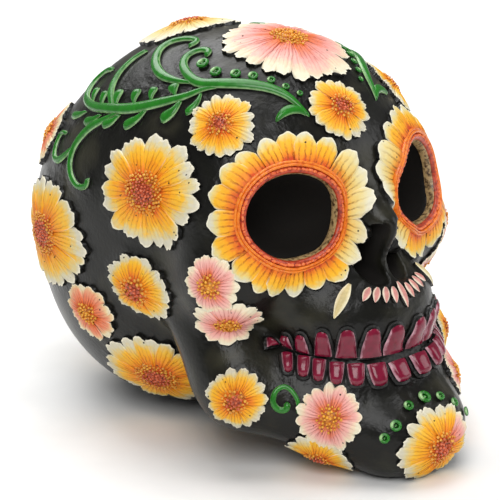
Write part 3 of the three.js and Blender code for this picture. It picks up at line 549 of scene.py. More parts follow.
def seat_at(point, out):
    """A frame on the skull: flat shapes are laid over the skull from it."""
    upright = np.array([0, 1, 0]) if abs(out[2]) > LEVEL_SHARE else np.array([0, 0, 1])
    right = np.cross(upright, out)
    right /= np.linalg.norm(right)
    return {"point": point, "out": out, "right": right, "up": np.cross(out, right)}


def head_seat(turn, rise):
    point = surface_points(HEAD_CENTRE, directions_of([(turn, rise)]))
    return seat_at(point[0], outward(point)[0])


def walked(seat, flat):
    """Lays flat points over the skull: X right, Y up and Z the height off it."""
    distance = np.hypot(flat[:, 0], flat[:, 1])
    steps = max(1, math.ceil(distance.max() / WALK_STEP))
    heading = flat[:, :1] * seat["right"] + flat[:, 1:2] * seat["up"]
    heading /= np.maximum(distance, 1e-9)[:, None]
    point = np.tile(seat["point"], (len(flat), 1))
    for _ in range(steps):
        point += heading * (distance / steps)[:, None]
        out = outward(point)
        point -= out * head_distance(point)[:, None]
        heading -= out * np.einsum("ij,ij->i", heading, out)[:, None]
        heading /= np.maximum(length_of(heading), 1e-9)[:, None]
    return brought_to(point, flat[:, 2])


def brought_to(point, height):
    for _ in range(SETTLE_STEPS):
        point = point + outward(point) * (height - head_distance(point))[:, None]
    return point


# Mesh work

def picked(*pieces):
    """Selects pieces, the first of them as the active one."""
    bpy.ops.object.select_all(action="DESELECT")
    for piece in pieces:
        piece.select_set(True)
    bpy.context.view_layer.objects.active = pieces[0]
    return pieces[0]


def added(primitive, finishes, **settings):
    """A new piece from one of Blender's primitives, in its finishes."""
    bpy.ops.object.select_all(action="DESELECT")
    primitive(**settings)
    piece = bpy.context.object
    for finish in finishes:
        piece.data.materials.append(material_of(finish))
    return piece


def coordinates(piece):
    places = np.empty(len(piece.data.vertices) * 3)
    piece.data.vertices.foreach_get("co", places)
    return places.reshape(-1, 3)


def reshape(piece, places):
    piece.data.vertices.foreach_set("co", np.ravel(places))
    piece.data.update()


def copied(piece, places):
    """A copy of a piece with its own mesh, whose vertices are put at new places."""
    copy = piece.copy()
    copy.data = piece.data.copy()
    bpy.context.collection.objects.link(copy)
    reshape(copy, places)
    return copy


def marked(piece, name, values):
    """Gives each point of a piece a value that its material reads."""
    attribute = piece.data.attributes.new(name, "FLOAT", "POINT")
    attribute.data.foreach_set("value", np.asarray(values, np.float32))


def joined(pieces):
    whole = picked(*pieces)
    bpy.ops.object.join()
    return whole


def removed(*pieces):
    for piece in pieces:
        bpy.data.meshes.remove(piece.data)


def finished(piece, name, slot, nodes=(), angle=SMOOTH_DEGREES):
    """Names and smooths a piece, and says what it rides on and what it stands for; its slot is not used."""
    piece.name = f"{name}_painted"
    piece.data.name = piece.name
    picked(piece)
    bpy.ops.object.shade_smooth_by_angle(angle=math.radians(angle))
    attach(piece, "root")
    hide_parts(*(nodes or [name]))


def finish_sides(piece, name, slot):
    """Finishes a piece of the skull's right side and its mirror image on the left."""
    left = copied(piece, coordinates(piece) * np.array([-1, 1, 1]))
    left.data.flip_normals()
    finished(piece, f"{name}_right", slot)
    finished(left, f"{name}_left", slot)


def strip(columns, rows, top, side):
    """A sheet from -1 to 1 each way at height 0, with sides drawn down to -1 and closed."""
    piece = added(bpy.ops.mesh.primitive_grid_add, (top, side),
                  x_subdivisions=columns, y_subdivisions=rows, size=2)
    bpy.ops.object.mode_set(mode="EDIT")
    bpy.ops.mesh.select_mode(type="EDGE")
    bpy.ops.mesh.select_all(action="DESELECT")
    bpy.ops.mesh.select_non_manifold()
    bpy.ops.mesh.extrude_region_move(TRANSFORM_OT_translate={"value": (0, 0, -1)})
    bpy.ops.mesh.edge_face_add()
    bpy.ops.mesh.select_all(action="SELECT")
    bpy.ops.mesh.normals_make_consistent(inside=False)
    bpy.ops.object.mode_set(mode="OBJECT")
    for face in piece.data.polygons:
        face.material_index = 0 if face.normal.z > 0.5 else 1
    return piece


def strip_parts(piece):
    """How far across and along a strip each point is, from -1 to 1, and whether it is a foot."""
    unit = coordinates(piece)
    return unit[:, 0], unit[:, 1], unit[:, 2] < -0.5


def small_ball(finish, subdivisions=1):
    return added(bpy.ops.mesh.primitive_ico_sphere_add, (finish,), subdivisions=subdivisions, radius=1)


def cut_off(piece, point, normal):
    """Cuts off what is beyond a plane, and closes the cut."""
    picked(piece)
    bpy.ops.object.mode_set(mode="EDIT")
    bpy.ops.mesh.select_all(action="SELECT")
    bpy.ops.mesh.bisect(plane_co=point, plane_no=normal, use_fill=True, clear_outer=True)
    bpy.ops.object.mode_set(mode="OBJECT")


def modified(piece, kind, **settings):
    """Adds a modifier to a piece and applies it."""
    picked(piece)
    modifier = piece.modifiers.new(kind.lower(), kind)
    for name, value in settings.items():
        setattr(modifier, name, value)
    bpy.ops.object.modifier_apply(modifier=modifier.name)


# Materials

def add_node(tree, kind, inputs=None, stops=None, **settings):
    """Adds a node with its settings, the values or links of its inputs, and a ramp's stops."""
    node = tree.nodes.new(kind)
    for name, value in settings.items():
        setattr(node, name, value)
    for key, value in (inputs or {}).items():
        if isinstance(value, bpy.types.NodeSocket):
            tree.links.new(value, node.inputs[key])
        else:
            node.inputs[key].default_value = value
    if stops:
        elements = node.color_ramp.elements
        while len(elements) < len(stops):
            elements.new(1)
        for element, (position, colour) in zip(elements, stops):
            element.position = position
            element.color = colour
    return node


def new_material(name, roughness):
    """A material with its tree, its surface shader and the place on the object."""
    material = bpy.data.materials.new(name)
    material.use_nodes = True
    tree = material.node_tree
    shader = tree.nodes["Principled BSDF"]
    shader.inputs["Roughness"].default_value = roughness
    return material, tree, shader, add_node(tree, "ShaderNodeTexCoord").outputs["Object"]


def worked(tree, operation, *values):
    return add_node(tree, "ShaderNodeMath", dict(enumerate(values)), operation=operation).outputs[0]


def times(tree, value, factor):
    return worked(tree, "MULTIPLY", value, factor)


def times_plus(tree, value, factor, more):
    return worked(tree, "MULTIPLY_ADD", value, factor, more)


def ranged(tree, value, low, high, start, end):
    inputs = {0: value, 1: low, 2: high, 3: start, 4: end}
    return add_node(tree, "ShaderNodeMapRange", inputs).outputs[0]


def ramped(tree, value, stops):
    return add_node(tree, "ShaderNodeValToRGB", {0: value}, stops).outputs[0]


def blended(tree, share, under, over):
    inputs = {0: share, 6: under, 7: over}
    return add_node(tree, "ShaderNodeMix", inputs, data_type="RGBA").outputs[2]


def mark(tree, name):
    """The values that the pieces' points are marked with under a name."""
    return add_node(tree, "ShaderNodeAttribute", attribute_name=name).outputs["Fac"]


def clouds(tree, place, per_millimetre, detail=3):
    inputs = {"Vector": place, "Scale": per_millimetre / MM, "Detail": detail}
    return add_node(tree, "ShaderNodeTexNoise", inputs).outputs[0]


def across_and_along(tree):
    """Where a point is across a strip and off its middle line, and along it, from 0 to 1."""
    flat = add_node(tree, "ShaderNodeSeparateXYZ", {0: add_node(tree, "ShaderNodeUVMap").outputs[0]})
    off_middle = worked(tree, "ABSOLUTE", times_plus(tree, flat.outputs[0], 2, -1))
    return flat.outputs[0], off_middle, flat.outputs[1]


def coloured(tree, shader, colour):
    tree.links.new(colour, shader.inputs["Base Color"])


def bumped(tree, shader, height, strength, millimetres):
    inputs = {"Height": height, "Strength": strength, "Distance": millimetres * MM}
    tree.links.new(add_node(tree, "ShaderNodeBump", inputs).outputs[0], shader.inputs["Normal"])


def petal_grooves(tree, across, along, shade, blotch, mottle):
    """Grooves along a petal: bent, broken here and there, and shallower towards the tip."""
    turn = times_plus(tree, across, PETAL_GROOVES * 2 * math.pi, times(tree, shade, 9))
    bent = times_plus(tree, blotch, 5, turn)
    line = ranged(tree, worked(tree, "COSINE", bent), 0.45, 1, 0, 1)
    broken = ranged(tree, mottle, 0.36, 0.56, 0.25, 1)
    fade = ranged(tree, along, 0.15, 0.85, 1, 0.08)
    return times(tree, times(tree, line, broken), fade)


def petal_rims(tree, off_middle, along):
    """The pale edges of a petal, dry-brushed cream that is partly a painted highlight: its tip, and its
    sides from a third of its length on.
    """
    sides = times(tree, ranged(tree, off_middle, 0.86, 1, 0, 1), ranged(tree, along, 0.3, 0.7, 0, 1))
    tip = ranged(tree, along, 0.93, 1, 0, 1)
    return times(tree, worked(tree, "MAXIMUM", sides, tip), 0.85)


def specks(tree, place):
    """Round specks of wash, in about one cell out of six."""
    cells = add_node(tree, "ShaderNodeTexVoronoi", {"Vector": place, "Scale": 0.55 / MM})
    dot = ranged(tree, cells.outputs["Distance"], 0.12, 0.18, 1, 0)
    chance = add_node(tree, "ShaderNodeSeparateColor", {0: cells.outputs["Color"]}).outputs[0]
    return times(tree, dot, worked(tree, "GREATER_THAN", chance, 0.82))


def painted_petals(name, stops, groove_colour):
    """Acrylic on moulded petals: hot at the root, dark wash in the grooves, pale brushed tips and edges that
    are partly a painted highlight.
    """
    material, tree, shader, place = new_material(name, 0.5)
    shader.inputs["Specular IOR Level"].default_value = 0.3
    across, off_middle, along = across_and_along(tree)
    shade = mark(tree, "shade")
    blotch = clouds(tree, place, 0.4)
    mottle = clouds(tree, place, 1.1)
    moved = times_plus(tree, blotch, 0.4, along)
    moved = times_plus(tree, mottle, 0.2, moved)
    moved = times_plus(tree, shade, 0.24, moved)
    paint = ramped(tree, worked(tree, "SUBTRACT", moved, 0.42), stops)
    groove = petal_grooves(tree, across, along, shade, blotch, mottle)
    lined = blended(tree, times(tree, groove, 0.85), paint, groove_colour)
    # Cream on the tips and sides: dry-brushed paint and partly a painted highlight
    edged = blended(tree, petal_rims(tree, off_middle, along), lined, colour_of("cream"))
    coloured(tree, shader, blended(tree, specks(tree, place), edged, colour_of("#20150c")))
    relief = times_plus(tree, groove, -1, times(tree, mottle, 0.5))
    bumped(tree, shader, relief, 0.6, 0.4)
    return material


def black_resin():
    """Polyester resin cast and sprayed satin black: olive brushed on, partly as a painted sheen, and black
    painted shade beside the ornaments.
    """
    material, tree, shader, place = new_material("cast_resin_satin_black", 0.4)
    nook, deep = mark(tree, "nook"), mark(tree, "deep")
    # Olive in random patches: partly real dry-brushing, partly a painted sheen
    dust_and_sheen = ranged(tree, clouds(tree, place, 0.05, 4), 0.46, 0.72, 0, 0.9)
    open_paint = blended(tree, dust_and_sheen, colour_of("charcoal"), colour_of("olive"))
    # Black blended in beside the ornaments is painted shade
    paint = blended(tree, nook, open_paint, colour_of("black"))
    coloured(tree, shader, blended(tree, deep, paint, colour_of("#171411")))
    tree.links.new(ranged(tree, deep, 0, 1, 0.3, 0.85), shader.inputs["Roughness"])
    shader.inputs["Specular IOR Level"].default_value = 0.26
    lumps = times(tree, clouds(tree, place, 0.55, 2), nook)
    grit = times_plus(tree, clouds(tree, place, 0.9, 4), 0.3, times(tree, lumps, 1.4))
    bumped(tree, shader, grit, 0.6, 0.45)
    return material


def black_edge():
    """The same resin on the sides of the ornaments: lumpy where it ran, and never brushed."""
    material, tree, shader, place = new_material("cast_resin_black_edge", 0.36)
    lumps = clouds(tree, place, 0.8)
    coloured(tree, shader, ramped(tree, lumps, [(0.45, colour_of("#0a0a09")), (0.8, colour_of("#1e1c18"))]))
    bumped(tree, shader, lumps, 0.6, 0.5)
    return material


def edged_gloss(name, paint_colour, edge_colour, low, high, most, roughness):
    """Enamel over moulded relief: darker in random patches, and its edges brushed in a paler tone that is
    partly a painted highlight.
    """
    material, tree, shader, place = new_material(name, roughness)
    _, off_middle, _ = across_and_along(tree)
    patch = clouds(tree, place, 0.5)
    # The pale edge along the sides is dry-brushed paint and partly a painted highlight
    edge_paint_and_highlight = times_plus(tree, patch, 0.4, worked(tree, "SUBTRACT", off_middle, 0.2))
    streak = ranged(tree, patch, 0.35, 0.65, 0.5, 1)
    # A darker copy of the paint, laid by noise in random patches
    hollow = blended(tree, 0.55, paint_colour, colour_of("#0a0a08"))
    body = blended(tree, streak, hollow, paint_colour)
    coloured(tree, shader, blended(tree, ranged(tree, edge_paint_and_highlight, low, high, 0, most), body, edge_colour))
    bumped(tree, shader, patch, 0.2, 0.3)
    return material


def granular_paint(name, colour, dark):
    """Acrylic on the moulded granules: wet-looking tops, mottled by noise with a darker tone that is painted
    shade meant for between them.
    """
    material, tree, shader, place = new_material(name, 0.3)
    # The darker tone is painted shade for the crevices, laid in random patches by noise
    coloured(tree, shader, ramped(tree, clouds(tree, place, 0.9, 2), [(0.36, dark), (0.56, colour)]))
    bumped(tree, shader, clouds(tree, place, 1.6, 2), 0.4, 0.3)
    return material


def pressed_felt():
    """Needled wool felt: black, matt and a little fuzzy."""
    material, tree, shader, place = new_material("pressed_wool_felt", 0.95)
    fibre = clouds(tree, place, 1.5, 5)
    coloured(tree, shader, ramped(tree, fibre, [(0.35, colour_of("#121212")), (0.7, colour_of("#2c2c2c"))]))
    bumped(tree, shader, fibre, 0.5, 0.2)
    return material


def material_of(key):
    """The material of a finish, made the first time that it is asked for."""
    if key not in MATERIALS:
        MATERIALS[key] = made_material(key)
    return MATERIALS[key]


def made_material(key):
    if key in PETALS:
        _, groove, positions, codes = PETALS[key]
        stops = [(at, linear(code)) for at, code in zip(positions, codes.split())]
        return painted_petals(f"acrylic_petals_{key}", stops, linear(groove))
    if key in GRANULES:
        return granular_paint(f"acrylic_{key}", *map(colour_of, GRANULES[key]))
    if key in ENAMELS:
        name, paint, edge, *edge_and_roughness = ENAMELS[key]
        return edged_gloss(name, colour_of(paint), colour_of(edge), *edge_and_roughness)
    return {"resin": black_resin, "edge": black_edge, "felt": pressed_felt}[key]()


# Flowers

def turned(x, y, height, angle):
    """Flat points turned anticlockwise about their origin, at their heights."""
    cosine, sine = np.cos(angle), np.sin(angle)
    return np.array([x * cosine - y * sine, x * sine + y * cosine, height]).T


def petal_flat(parts, angle, inner, length, half_width, height, root, rng):
    """Shapes a strip as a petal that lies along an angle from a flower's middle."""
    across, from_middle, foot = parts
    along = (from_middle + 1) / 2
    column = np.rint((across + 1) / 2 * PETAL_COLUMNS).astype(int)
    ragged = np.array([rng.uniform(-1, 1) for _ in range(PETAL_COLUMNS + 1)])[column]
    lobes = np.cos(math.pi * rng.choice((1, 2, 2, 3)) * across + rng.uniform(-0.9, 0.9))
    swell = root + (1 - root) * np.sin(np.minimum(along / PETAL_WIDEST, 1) * math.pi / 2)
    swell *= (1 - PETAL_NARROWING * along ** 6) * (1 + PETAL_RAGGED_SIDE * ragged * along)
    x = half_width * (across * swell + PETAL_SWAY * rng.uniform(-1, 1) * along ** 2)
    tip = along ** 4
    arc = PETAL_ARC * half_width * (1 - np.sqrt(1 - PETAL_ARC_WIDTH * across ** 2))
    skew = PETAL_SKEW * rng.uniform(-1, 1) * across
    reach = length * (along + tip * (PETAL_LOBES * lobes + PETAL_RAGGED_TIP * ragged + skew)) - tip * arc
    top = 0.5 + 0.5 * (1 - along) ** 0.8 + PETAL_LEAN * rng.uniform(-1, 1) * across * along
    top += PETAL_RIDGES * np.cos(3 * math.pi * across) * np.minimum(1, 3 * along)
    top -= PETAL_EDGE_DROP * np.abs(across) ** 4
    x = x + np.where(foot & (np.abs(across) > 0.99), PETAL_FOOT_SPREAD * np.sign(across), 0)
    y = inner + reach + np.where(foot & (along > 0.99), PETAL_FOOT_SPREAD, 0)
    return turned(x, y, np.where(foot, -SINK, height * top), -angle)


def spiral_centres(radius, spacing, low, high):
    """Places on a golden spiral that fills a dome, from its middle out."""
    count = int((radius / spacing) ** 2)
    share = np.sqrt((np.arange(count) + 0.5) / count)
    angle = np.arange(count) * math.pi * (3 - math.sqrt(5))
    return share, turned(radius * share, 0, low + (high - low) * (1 - share ** 2), angle)


def dome(radius, low, high, finish):
    """A low rounded mound, for the granules to stand on."""
    piece = added(bpy.ops.mesh.primitive_uv_sphere_add, (finish,), segments=20, ring_count=10, radius=1)
    flat = coordinates(piece) * np.array([radius, radius, high - low]) + np.array([0, 0, low])
    flat[:, 2] = np.maximum(flat[:, 2], 0)
    return piece, flat


def laid_together(seat, pieces, flats):
    """Lays each piece's flat shape over the skull from one seat."""
    placed = walked(seat, np.concatenate(flats))
    ends = np.cumsum([len(flat) for flat in flats])[:-1]
    for piece, places in zip(pieces, np.split(placed, ends)):
        reshape(piece, places)


def granules(middle, height, warm, rng):
    """The middle of a flower: a mound on a mound, red or ochre on ochre, set with granules."""
    size = bpy.context.scene.skull_sizes.granule
    inner_dome, inner_key = ("dome_ochre", "granule_yellow") if warm else ("dome_red", "granule_red")
    outer, outer_flat = dome(middle, height * MOUND_FOOT, height * OUTER_MOUND_TOP, "dome_ochre")
    inner, inner_flat = dome(middle * INNER_MOUND, height * MOUND_FOOT, height * INNER_MOUND_TOP, inner_dome)
    low, high = (height * share for share in GRANULE_LEVELS)
    shares, centres = spiral_centres(middle * GRANULE_REACH, size * GRANULE_SPACING, low, high)
    flats = [outer_flat, inner_flat]
    pieces = [outer, inner]
    for finish, chosen in ((inner_key, shares < INNER_MOUND), ("granule_ochre", shares >= INNER_MOUND)):
        ball = small_ball(finish)
        for centre in centres[chosen]:
            jolt = [rng.uniform(-0.12, 0.12), rng.uniform(-0.12, 0.12), rng.uniform(-0.1, 0.14)]
            ball_size = size * rng.uniform(0.7, 1.15)
            flats.append(coordinates(ball) * ball_size + centre + np.array(jolt) * MM)
            pieces.append(copied(ball, flats[-1]))
        removed(ball)
    return pieces, flats


def grown_petal(unit_petal, flat, tint, rng):
    """A copy of a unit petal in its own shape, shade and tint."""
    petal = copied(unit_petal, flat)
    petal.data.materials[0] = material_of(tint)
    marked(petal, "shade", np.full(len(flat), rng.random()))
    return petal


def flower_piece(name, seat, radius, spread, petals, tint, lift, rng):
    """A flower: a ring of grooved petals, alternately over and under, and a granular middle."""
    height = bpy.context.scene.skull_sizes.flower_height * lift
    inner = radius * FLOWER_INNER
    unit_petal = strip(PETAL_COLUMNS, PETAL_ROWS, tint, "edge")
    parts = strip_parts(unit_petal)
    middle = radius * (CROWN_MIDDLE if name == "crown_flower" else FLOWER_MIDDLE)
    pieces, flats = granules(middle, height, tint in ("pink", "salmon"), rng)
    start = rng.uniform(0, 2 * math.pi)
    for i in range(petals):
        angle = start + (i + rng.uniform(-0.2, 0.2)) * 2 * math.pi / petals
        length = radius * rng.uniform(0.9, 1.0) - inner
        half_width = math.pi * radius * PETAL_CROWDING / petals * rng.uniform(1.0, 1.28)
        over = height * (1.0 if i % 2 else PETAL_UNDER) * rng.uniform(0.93, 1)
        flats.append(petal_flat(parts, angle, inner, length, half_width, over, PETAL_ROOT, rng))
        blushing = name == "chin_flower" and CHIN_BLUSH[0] < angle % (2 * math.pi) < CHIN_BLUSH[1]
        pieces.append(grown_petal(unit_petal, flats[-1], "pink" if blushing else tint, rng))
    removed(unit_petal)
    laid_together(seat, pieces, [flat * np.array([spread, 1, 1]) for flat in flats])
    return joined(pieces)


def seed_of(name):
    """A seed that stays the same for a name from run to run."""
    return sum((i + 1) * ord(letter) for i, letter in enumerate(name))


class SKULL_OT_flowers(Operator):
    """Models the flowers over the skull and the jaw"""

    bl_idname = "skull.flowers"
    bl_label = "Flowers"

    def execute(self, context):
        for rows, finish in ((MIDDLE_FLOWERS, finished), (PAIRED_FLOWERS, finish_sides)):
            for name, turn, rise, radius, spread, petals, tint, lift in rows:
                rng = random.Random(seed_of(name))
                seat = head_seat(turn, rise)
                piece = flower_piece(name, seat, radius * MM, spread, petals, tint, lift, rng)
                finish(piece, name, PETALS[tint][0])
        return {"FINISHED"}


# Eye flowers

def round_the_eye(flat):
    """Widens a ring drawn from the rim outwards so that it starts on the socket's edge."""
    sizes = bpy.context.scene.skull_sizes
    angle = np.arctan2(flat[:, 1], flat[:, 0])
    offset = np.hypot(flat[:, 0], flat[:, 1]) - sizes.eye_half_height
    edge = 1 / np.hypot(np.cos(angle) / sizes.eye_half_width, np.sin(angle) / sizes.eye_half_height)
    return turned(edge + offset, 0, flat[:, 2], angle)


def eye_seat():
    point = surface_points(HEAD_CENTRE, directions_of([(EYE_TURN, EYE_RISE)]))[0]
    return seat_at(point, directions_of([(EYE_TURN_OUT, 0)])[0])


def torus(finish, radius, half_width, cells):
    return added(bpy.ops.mesh.primitive_torus_add, (finish,), major_segments=cells[0],
                 minor_segments=cells[1], major_radius=radius, minor_radius=half_width)


def ring(radius, half_width, half_height, level, finish):
    """A torus of oval section, lying flat with its middle at a level."""
    piece = torus(finish, radius, half_width, EYE_RING_CELLS)
    flat = coordinates(piece) * np.array([1, 1, half_height / half_width]) + np.array([0, 0, level])
    return piece, flat


class SKULL_OT_eye_flowers(Operator):
    """Models the flower round each eye socket: petals, smooth ridges and a beaded inner band"""

    bl_idname = "skull.eye_flowers"
    bl_label = "Eye flowers"

    def execute(self, context):
        sizes = context.scene.skull_sizes
        rng = random.Random(seed_of("eye_sunflower"))
        pieces, flats = self.rim(sizes, rng)
        unit_petal = strip(PETAL_COLUMNS, PETAL_ROWS, "sun", "edge")
        parts = strip_parts(unit_petal)
        inner = sizes.eye_half_height + sizes.eye_rim * 0.8
        middle_radius = sizes.eye_half_width + sizes.eye_rim + sizes.eye_petal * 0.5
        for i in range(EYE_PETALS):
            angle = (i + rng.uniform(-0.16, 0.16)) * 2 * math.pi / EYE_PETALS
            to_nose = max(0, math.sin(angle + 0.35))
            length = sizes.eye_petal * (0.8 + 0.2 * to_nose) * rng.uniform(0.88, 1.0)
            height = EYE_PETAL_HEIGHT * (1.0 if i % 2 else EYE_PETAL_UNDER)
            half_width = math.pi * middle_radius / EYE_PETALS * rng.uniform(0.94, 1.1)
            flats.append(petal_flat(parts, angle, inner, length, half_width, height, EYE_PETAL_ROOT, rng))
            tint = "sun_pale" if EYE_PALE_PETALS[0] < angle < EYE_PALE_PETALS[1] else "sun"
            pieces.append(grown_petal(unit_petal, flats[-1], tint, rng))
        removed(unit_petal)
        laid_together(eye_seat(), pieces, [round_the_eye(flat) for flat in flats])
        flower = joined(pieces)
        cut_off(flower, (-EYE_FLOWER_GAP / 2, 0, 0), (1, 0, 0))
        finish_sides(flower, "eye_sunflower", "yellow_petals")
        return {"FINISHED"}

    def rim(self, sizes, rng):
        """Two smooth ridges, a red band with a chain of beads, and a thin pale lip."""
        start, width = sizes.eye_half_height, sizes.eye_rim
        rings = [
            ring(start + width * 0.9, width * 0.15, 0.7 * MM, 1.8 * MM, "rim_orange"),
            ring(start + width * 0.66, width * 0.13, 0.6 * MM, 2.1 * MM, "rim_orange"),
            ring(start + width * 0.32, width * 0.32, 0.9 * MM, 1.3 * MM, "rim_red"),
            ring(start + 0.15 * MM, 0.3 * MM, 1.2 * MM, 0, "lip_tan"),
        ]
        pieces, flats = (list(group) for group in zip(*rings))
        ball = small_ball("rim_bead", 2)
        unit = coordinates(ball) * np.array([1.35, 0.85, 0.8])
        for i in range(EYE_BEADS):
            angle = (i + rng.uniform(-0.2, 0.2)) * 2 * math.pi / EYE_BEADS
            radius = start + width * 0.34 + rng.uniform(-0.1, 0.1) * MM
            size = rng.uniform(0.4, 0.6) * MM
            along, out, up = (unit * size).T
            flats.append(turned(out + radius, along, up + 2.1 * MM, angle))
            pieces.append(copied(ball, flats[-1]))
        removed(ball)
        return pieces, flats


# Vines, leaves and beads

def travelled_along(points):
    """How far along a line of points each of them is."""
    return np.concatenate([[0], np.cumsum(length_of(np.diff(points, axis=0)))])


def smooth_line(points, spacing):
    """Evenly spaced places on a smooth curve through points."""
    ends = np.concatenate([[2 * points[0] - points[1]], points, [2 * points[-1] - points[-2]]])
    share = np.linspace(0, 1, CURVE_STEPS + 1)[:-1, None]
    spans = []
    for a, b, c, d in zip(ends, ends[1:], ends[2:], ends[3:]):
        square = (2 * a - 5 * b + 4 * c - d) * share ** 2
        cube = (3 * b - a - 3 * c + d) * share ** 3
        spans.append(0.5 * (2 * b + (c - a) * share + square + cube))
    line = np.concatenate(spans + [points[-1:]])
    travelled = travelled_along(line)
    even = np.linspace(0, travelled[-1], max(6, round(travelled[-1] / spacing)) + 1)
    return np.array([np.interp(even, travelled, line[:, axis]) for axis in range(3)]).T


def relief_along(places, half_width, height, width_at):
    """A glossy moulded ribbon with round ends, run through (turn, rise) places on the skull."""
    line = smooth_line(surface_points(HEAD_CENTRE, directions_of(places)), RIBBON_SPACING)
    directions = line - HEAD_CENTRE
    points = surface_points(HEAD_CENTRE, directions / length_of(directions)[:, None])
    out = outward(points)
    side = np.cross(np.gradient(points, axis=0), out)
    side /= length_of(side)[:, None]
    travelled = travelled_along(points)
    spread = half_width * MM * width_at(travelled / travelled[-1])
    from_end = np.minimum(travelled, travelled[-1] - travelled)
    rounded = np.sqrt(1 - (1 - np.clip(from_end / spread, 0.02, 1)) ** 2)
    piece = strip(RIBBON_COLUMNS, len(points) - 1, "vine", "edge")
    across, along, foot = strip_parts(piece)
    row = np.rint((along + 1) / 2 * (len(points) - 1)).astype(int)
    offset = (spread * rounded)[row] * np.sin(across * math.pi / 2)
    offset = offset + np.where(foot, FOOT_SPREAD * np.sign(across), 0)
    thin = np.minimum(1, spread / RIBBON_FULL_WIDTH) ** 0.4
    rise = height * (rounded ** 0.7 * thin)[row] * (0.35 + 0.65 * np.cos(across * math.pi / 2) ** 0.75)
    rise = np.where(foot, -SINK, rise)
    reshape(piece, points[row] + side[row] * offset[:, None] + out[row] * rise[:, None])
    return piece


def stem_width(share):
    return 0.2 + 0.8 * np.sin(np.clip(share * 2.5, 0, 1) * math.pi / 2) - 0.5 * share ** 1.6


def hanging_width(share):
    return 0.3 + 0.7 * np.sin(np.minimum(share / 0.8, 1) * math.pi / 2) ** 1.5


def upright_width(share):
    return 0.22 + 0.78 * np.cos(np.minimum(share / 0.75, 1) * math.pi / 2) ** 0.8


def crescent_width(share):
    return 0.25 + 0.75 * np.sin(share * math.pi)


def curl_width(share):
    return 0.55 + 0.45 * share


class SKULL_OT_vines(Operator):
    """Models the vine scrolls: stems, curls and leaves on each side of the head"""

    bl_idname = "skull.vines"
    bl_label = "Vines"

    def execute(self, context):
        height = context.scene.skull_sizes.vine_height
        pieces = []
        for runs, width_at in (
            (STEMS, stem_width),
            (HANGING_LEAVES, hanging_width),
            (UPRIGHT_LEAVES, upright_width),
            (CRESCENTS, crescent_width),
        ):
            pieces += [relief_along(places, half_width, height, width_at) for places, half_width in runs]
        finish_sides(joined(pieces), "vine_scroll", "green_vine")
        curl = relief_along(JAW_CURL, CURL_HALF_WIDTH, CURL_HEIGHT, curl_width)
        finish_sides(curl, "jaw_curl", "green_vine")
        return {"FINISHED"}


def set_out(seat, flat):
    """Flat points set out along a seat's directions, without following the skull."""
    right, up = flat[:, :1] * seat["right"], flat[:, 1:2] * seat["up"]
    return seat["point"] + right + up + flat[:, 2:] * seat["out"]


def ring_bead(centre, out, radius):
    """A small moulded ring with a dot in it, lying on the skull."""
    seat = seat_at(centre, out)
    band = torus("vine", radius * BEAD_RING, radius * BEAD_RING_THICKNESS, BEAD_RING_CELLS)
    dot = small_ball("vine", 2)
    for part, size, level in ((band, 1, 0.45), (dot, radius * BEAD_DOT, 0.35)):
        flat = coordinates(part) * size
        flat[:, 2] += radius * level
        reshape(part, set_out(seat, flat))
    return [band, dot]


class SKULL_OT_beads(Operator):
    """Models the small green beads over the brow and round the chin flower"""

    bl_idname = "skull.beads"
    bl_label = "Beads"

    def execute(self, context):
        finish_sides(self.row(BROW_BEADS, BROW_BEAD_RADII), "brow_bead_row", "green_vine")
        finished(self.row(CHIN_BEADS, CHIN_BEAD_RADII), "chin_bead_row", "green_vine")
        return {"FINISHED"}

    def row(self, places, radii):
        points = surface_points(HEAD_CENTRE, directions_of(places))
        pieces = []
        for point, out, radius in zip(points, outward(points), radii):
            pieces += ring_bead(point, out, radius * MM)
        return joined(pieces)


# Teeth

def mouth_height(y):
    (front_y, front_z), (back_y, back_z) = MOUTH_LINE_SHARES
    share = ((y - SKULL_SHIFT[1]) / SKULL_SIZE[1] - front_y) / (back_y - front_y)
    return (front_z + share * (back_z - front_z)) * SKULL_SIZE[2]


def mouth_point(turn, offset):
    direction = directions_of([(turn, 0)])
    origin = MOUTH_CENTRE.copy()
    origin[2] = mouth_height(surface_points(origin, direction)[0, 1]) + offset
    return surface_points(origin, direction)[0]


def tooth_flat(parts, width, height, proud, gum_up, grow, taper):
    """Shapes a strip as a tooth: straight at the mouth, narrowed and rounded at the gum."""
    across, upright, foot = parts
    to_gum = upright * gum_up
    at_gum = to_gum > 0
    x = across * np.sqrt(1 - np.where(at_gum, TOOTH_ROUND, 0.06) * to_gum ** 2)
    x = x * (1 - taper * (to_gum + 1))
    y = upright * np.sqrt(1 - np.where(at_gum, TOOTH_ROUND, 0.05) * across ** 2)
    roll = np.maximum(np.abs(across), np.where(at_gum, to_gum, -0.85 * to_gum)) ** 5
    z = proud * (1 - 0.1 * across ** 2 - 0.06 * to_gum ** 2 - TOOTH_ROLL * roll)
    x_scale = width / 2 + grow
    y_scale = height / 2 + grow * np.where(at_gum, 1, 0.3)
    return np.array([x * x_scale, y * y_scale, np.where(foot, -SINK, z)]).T


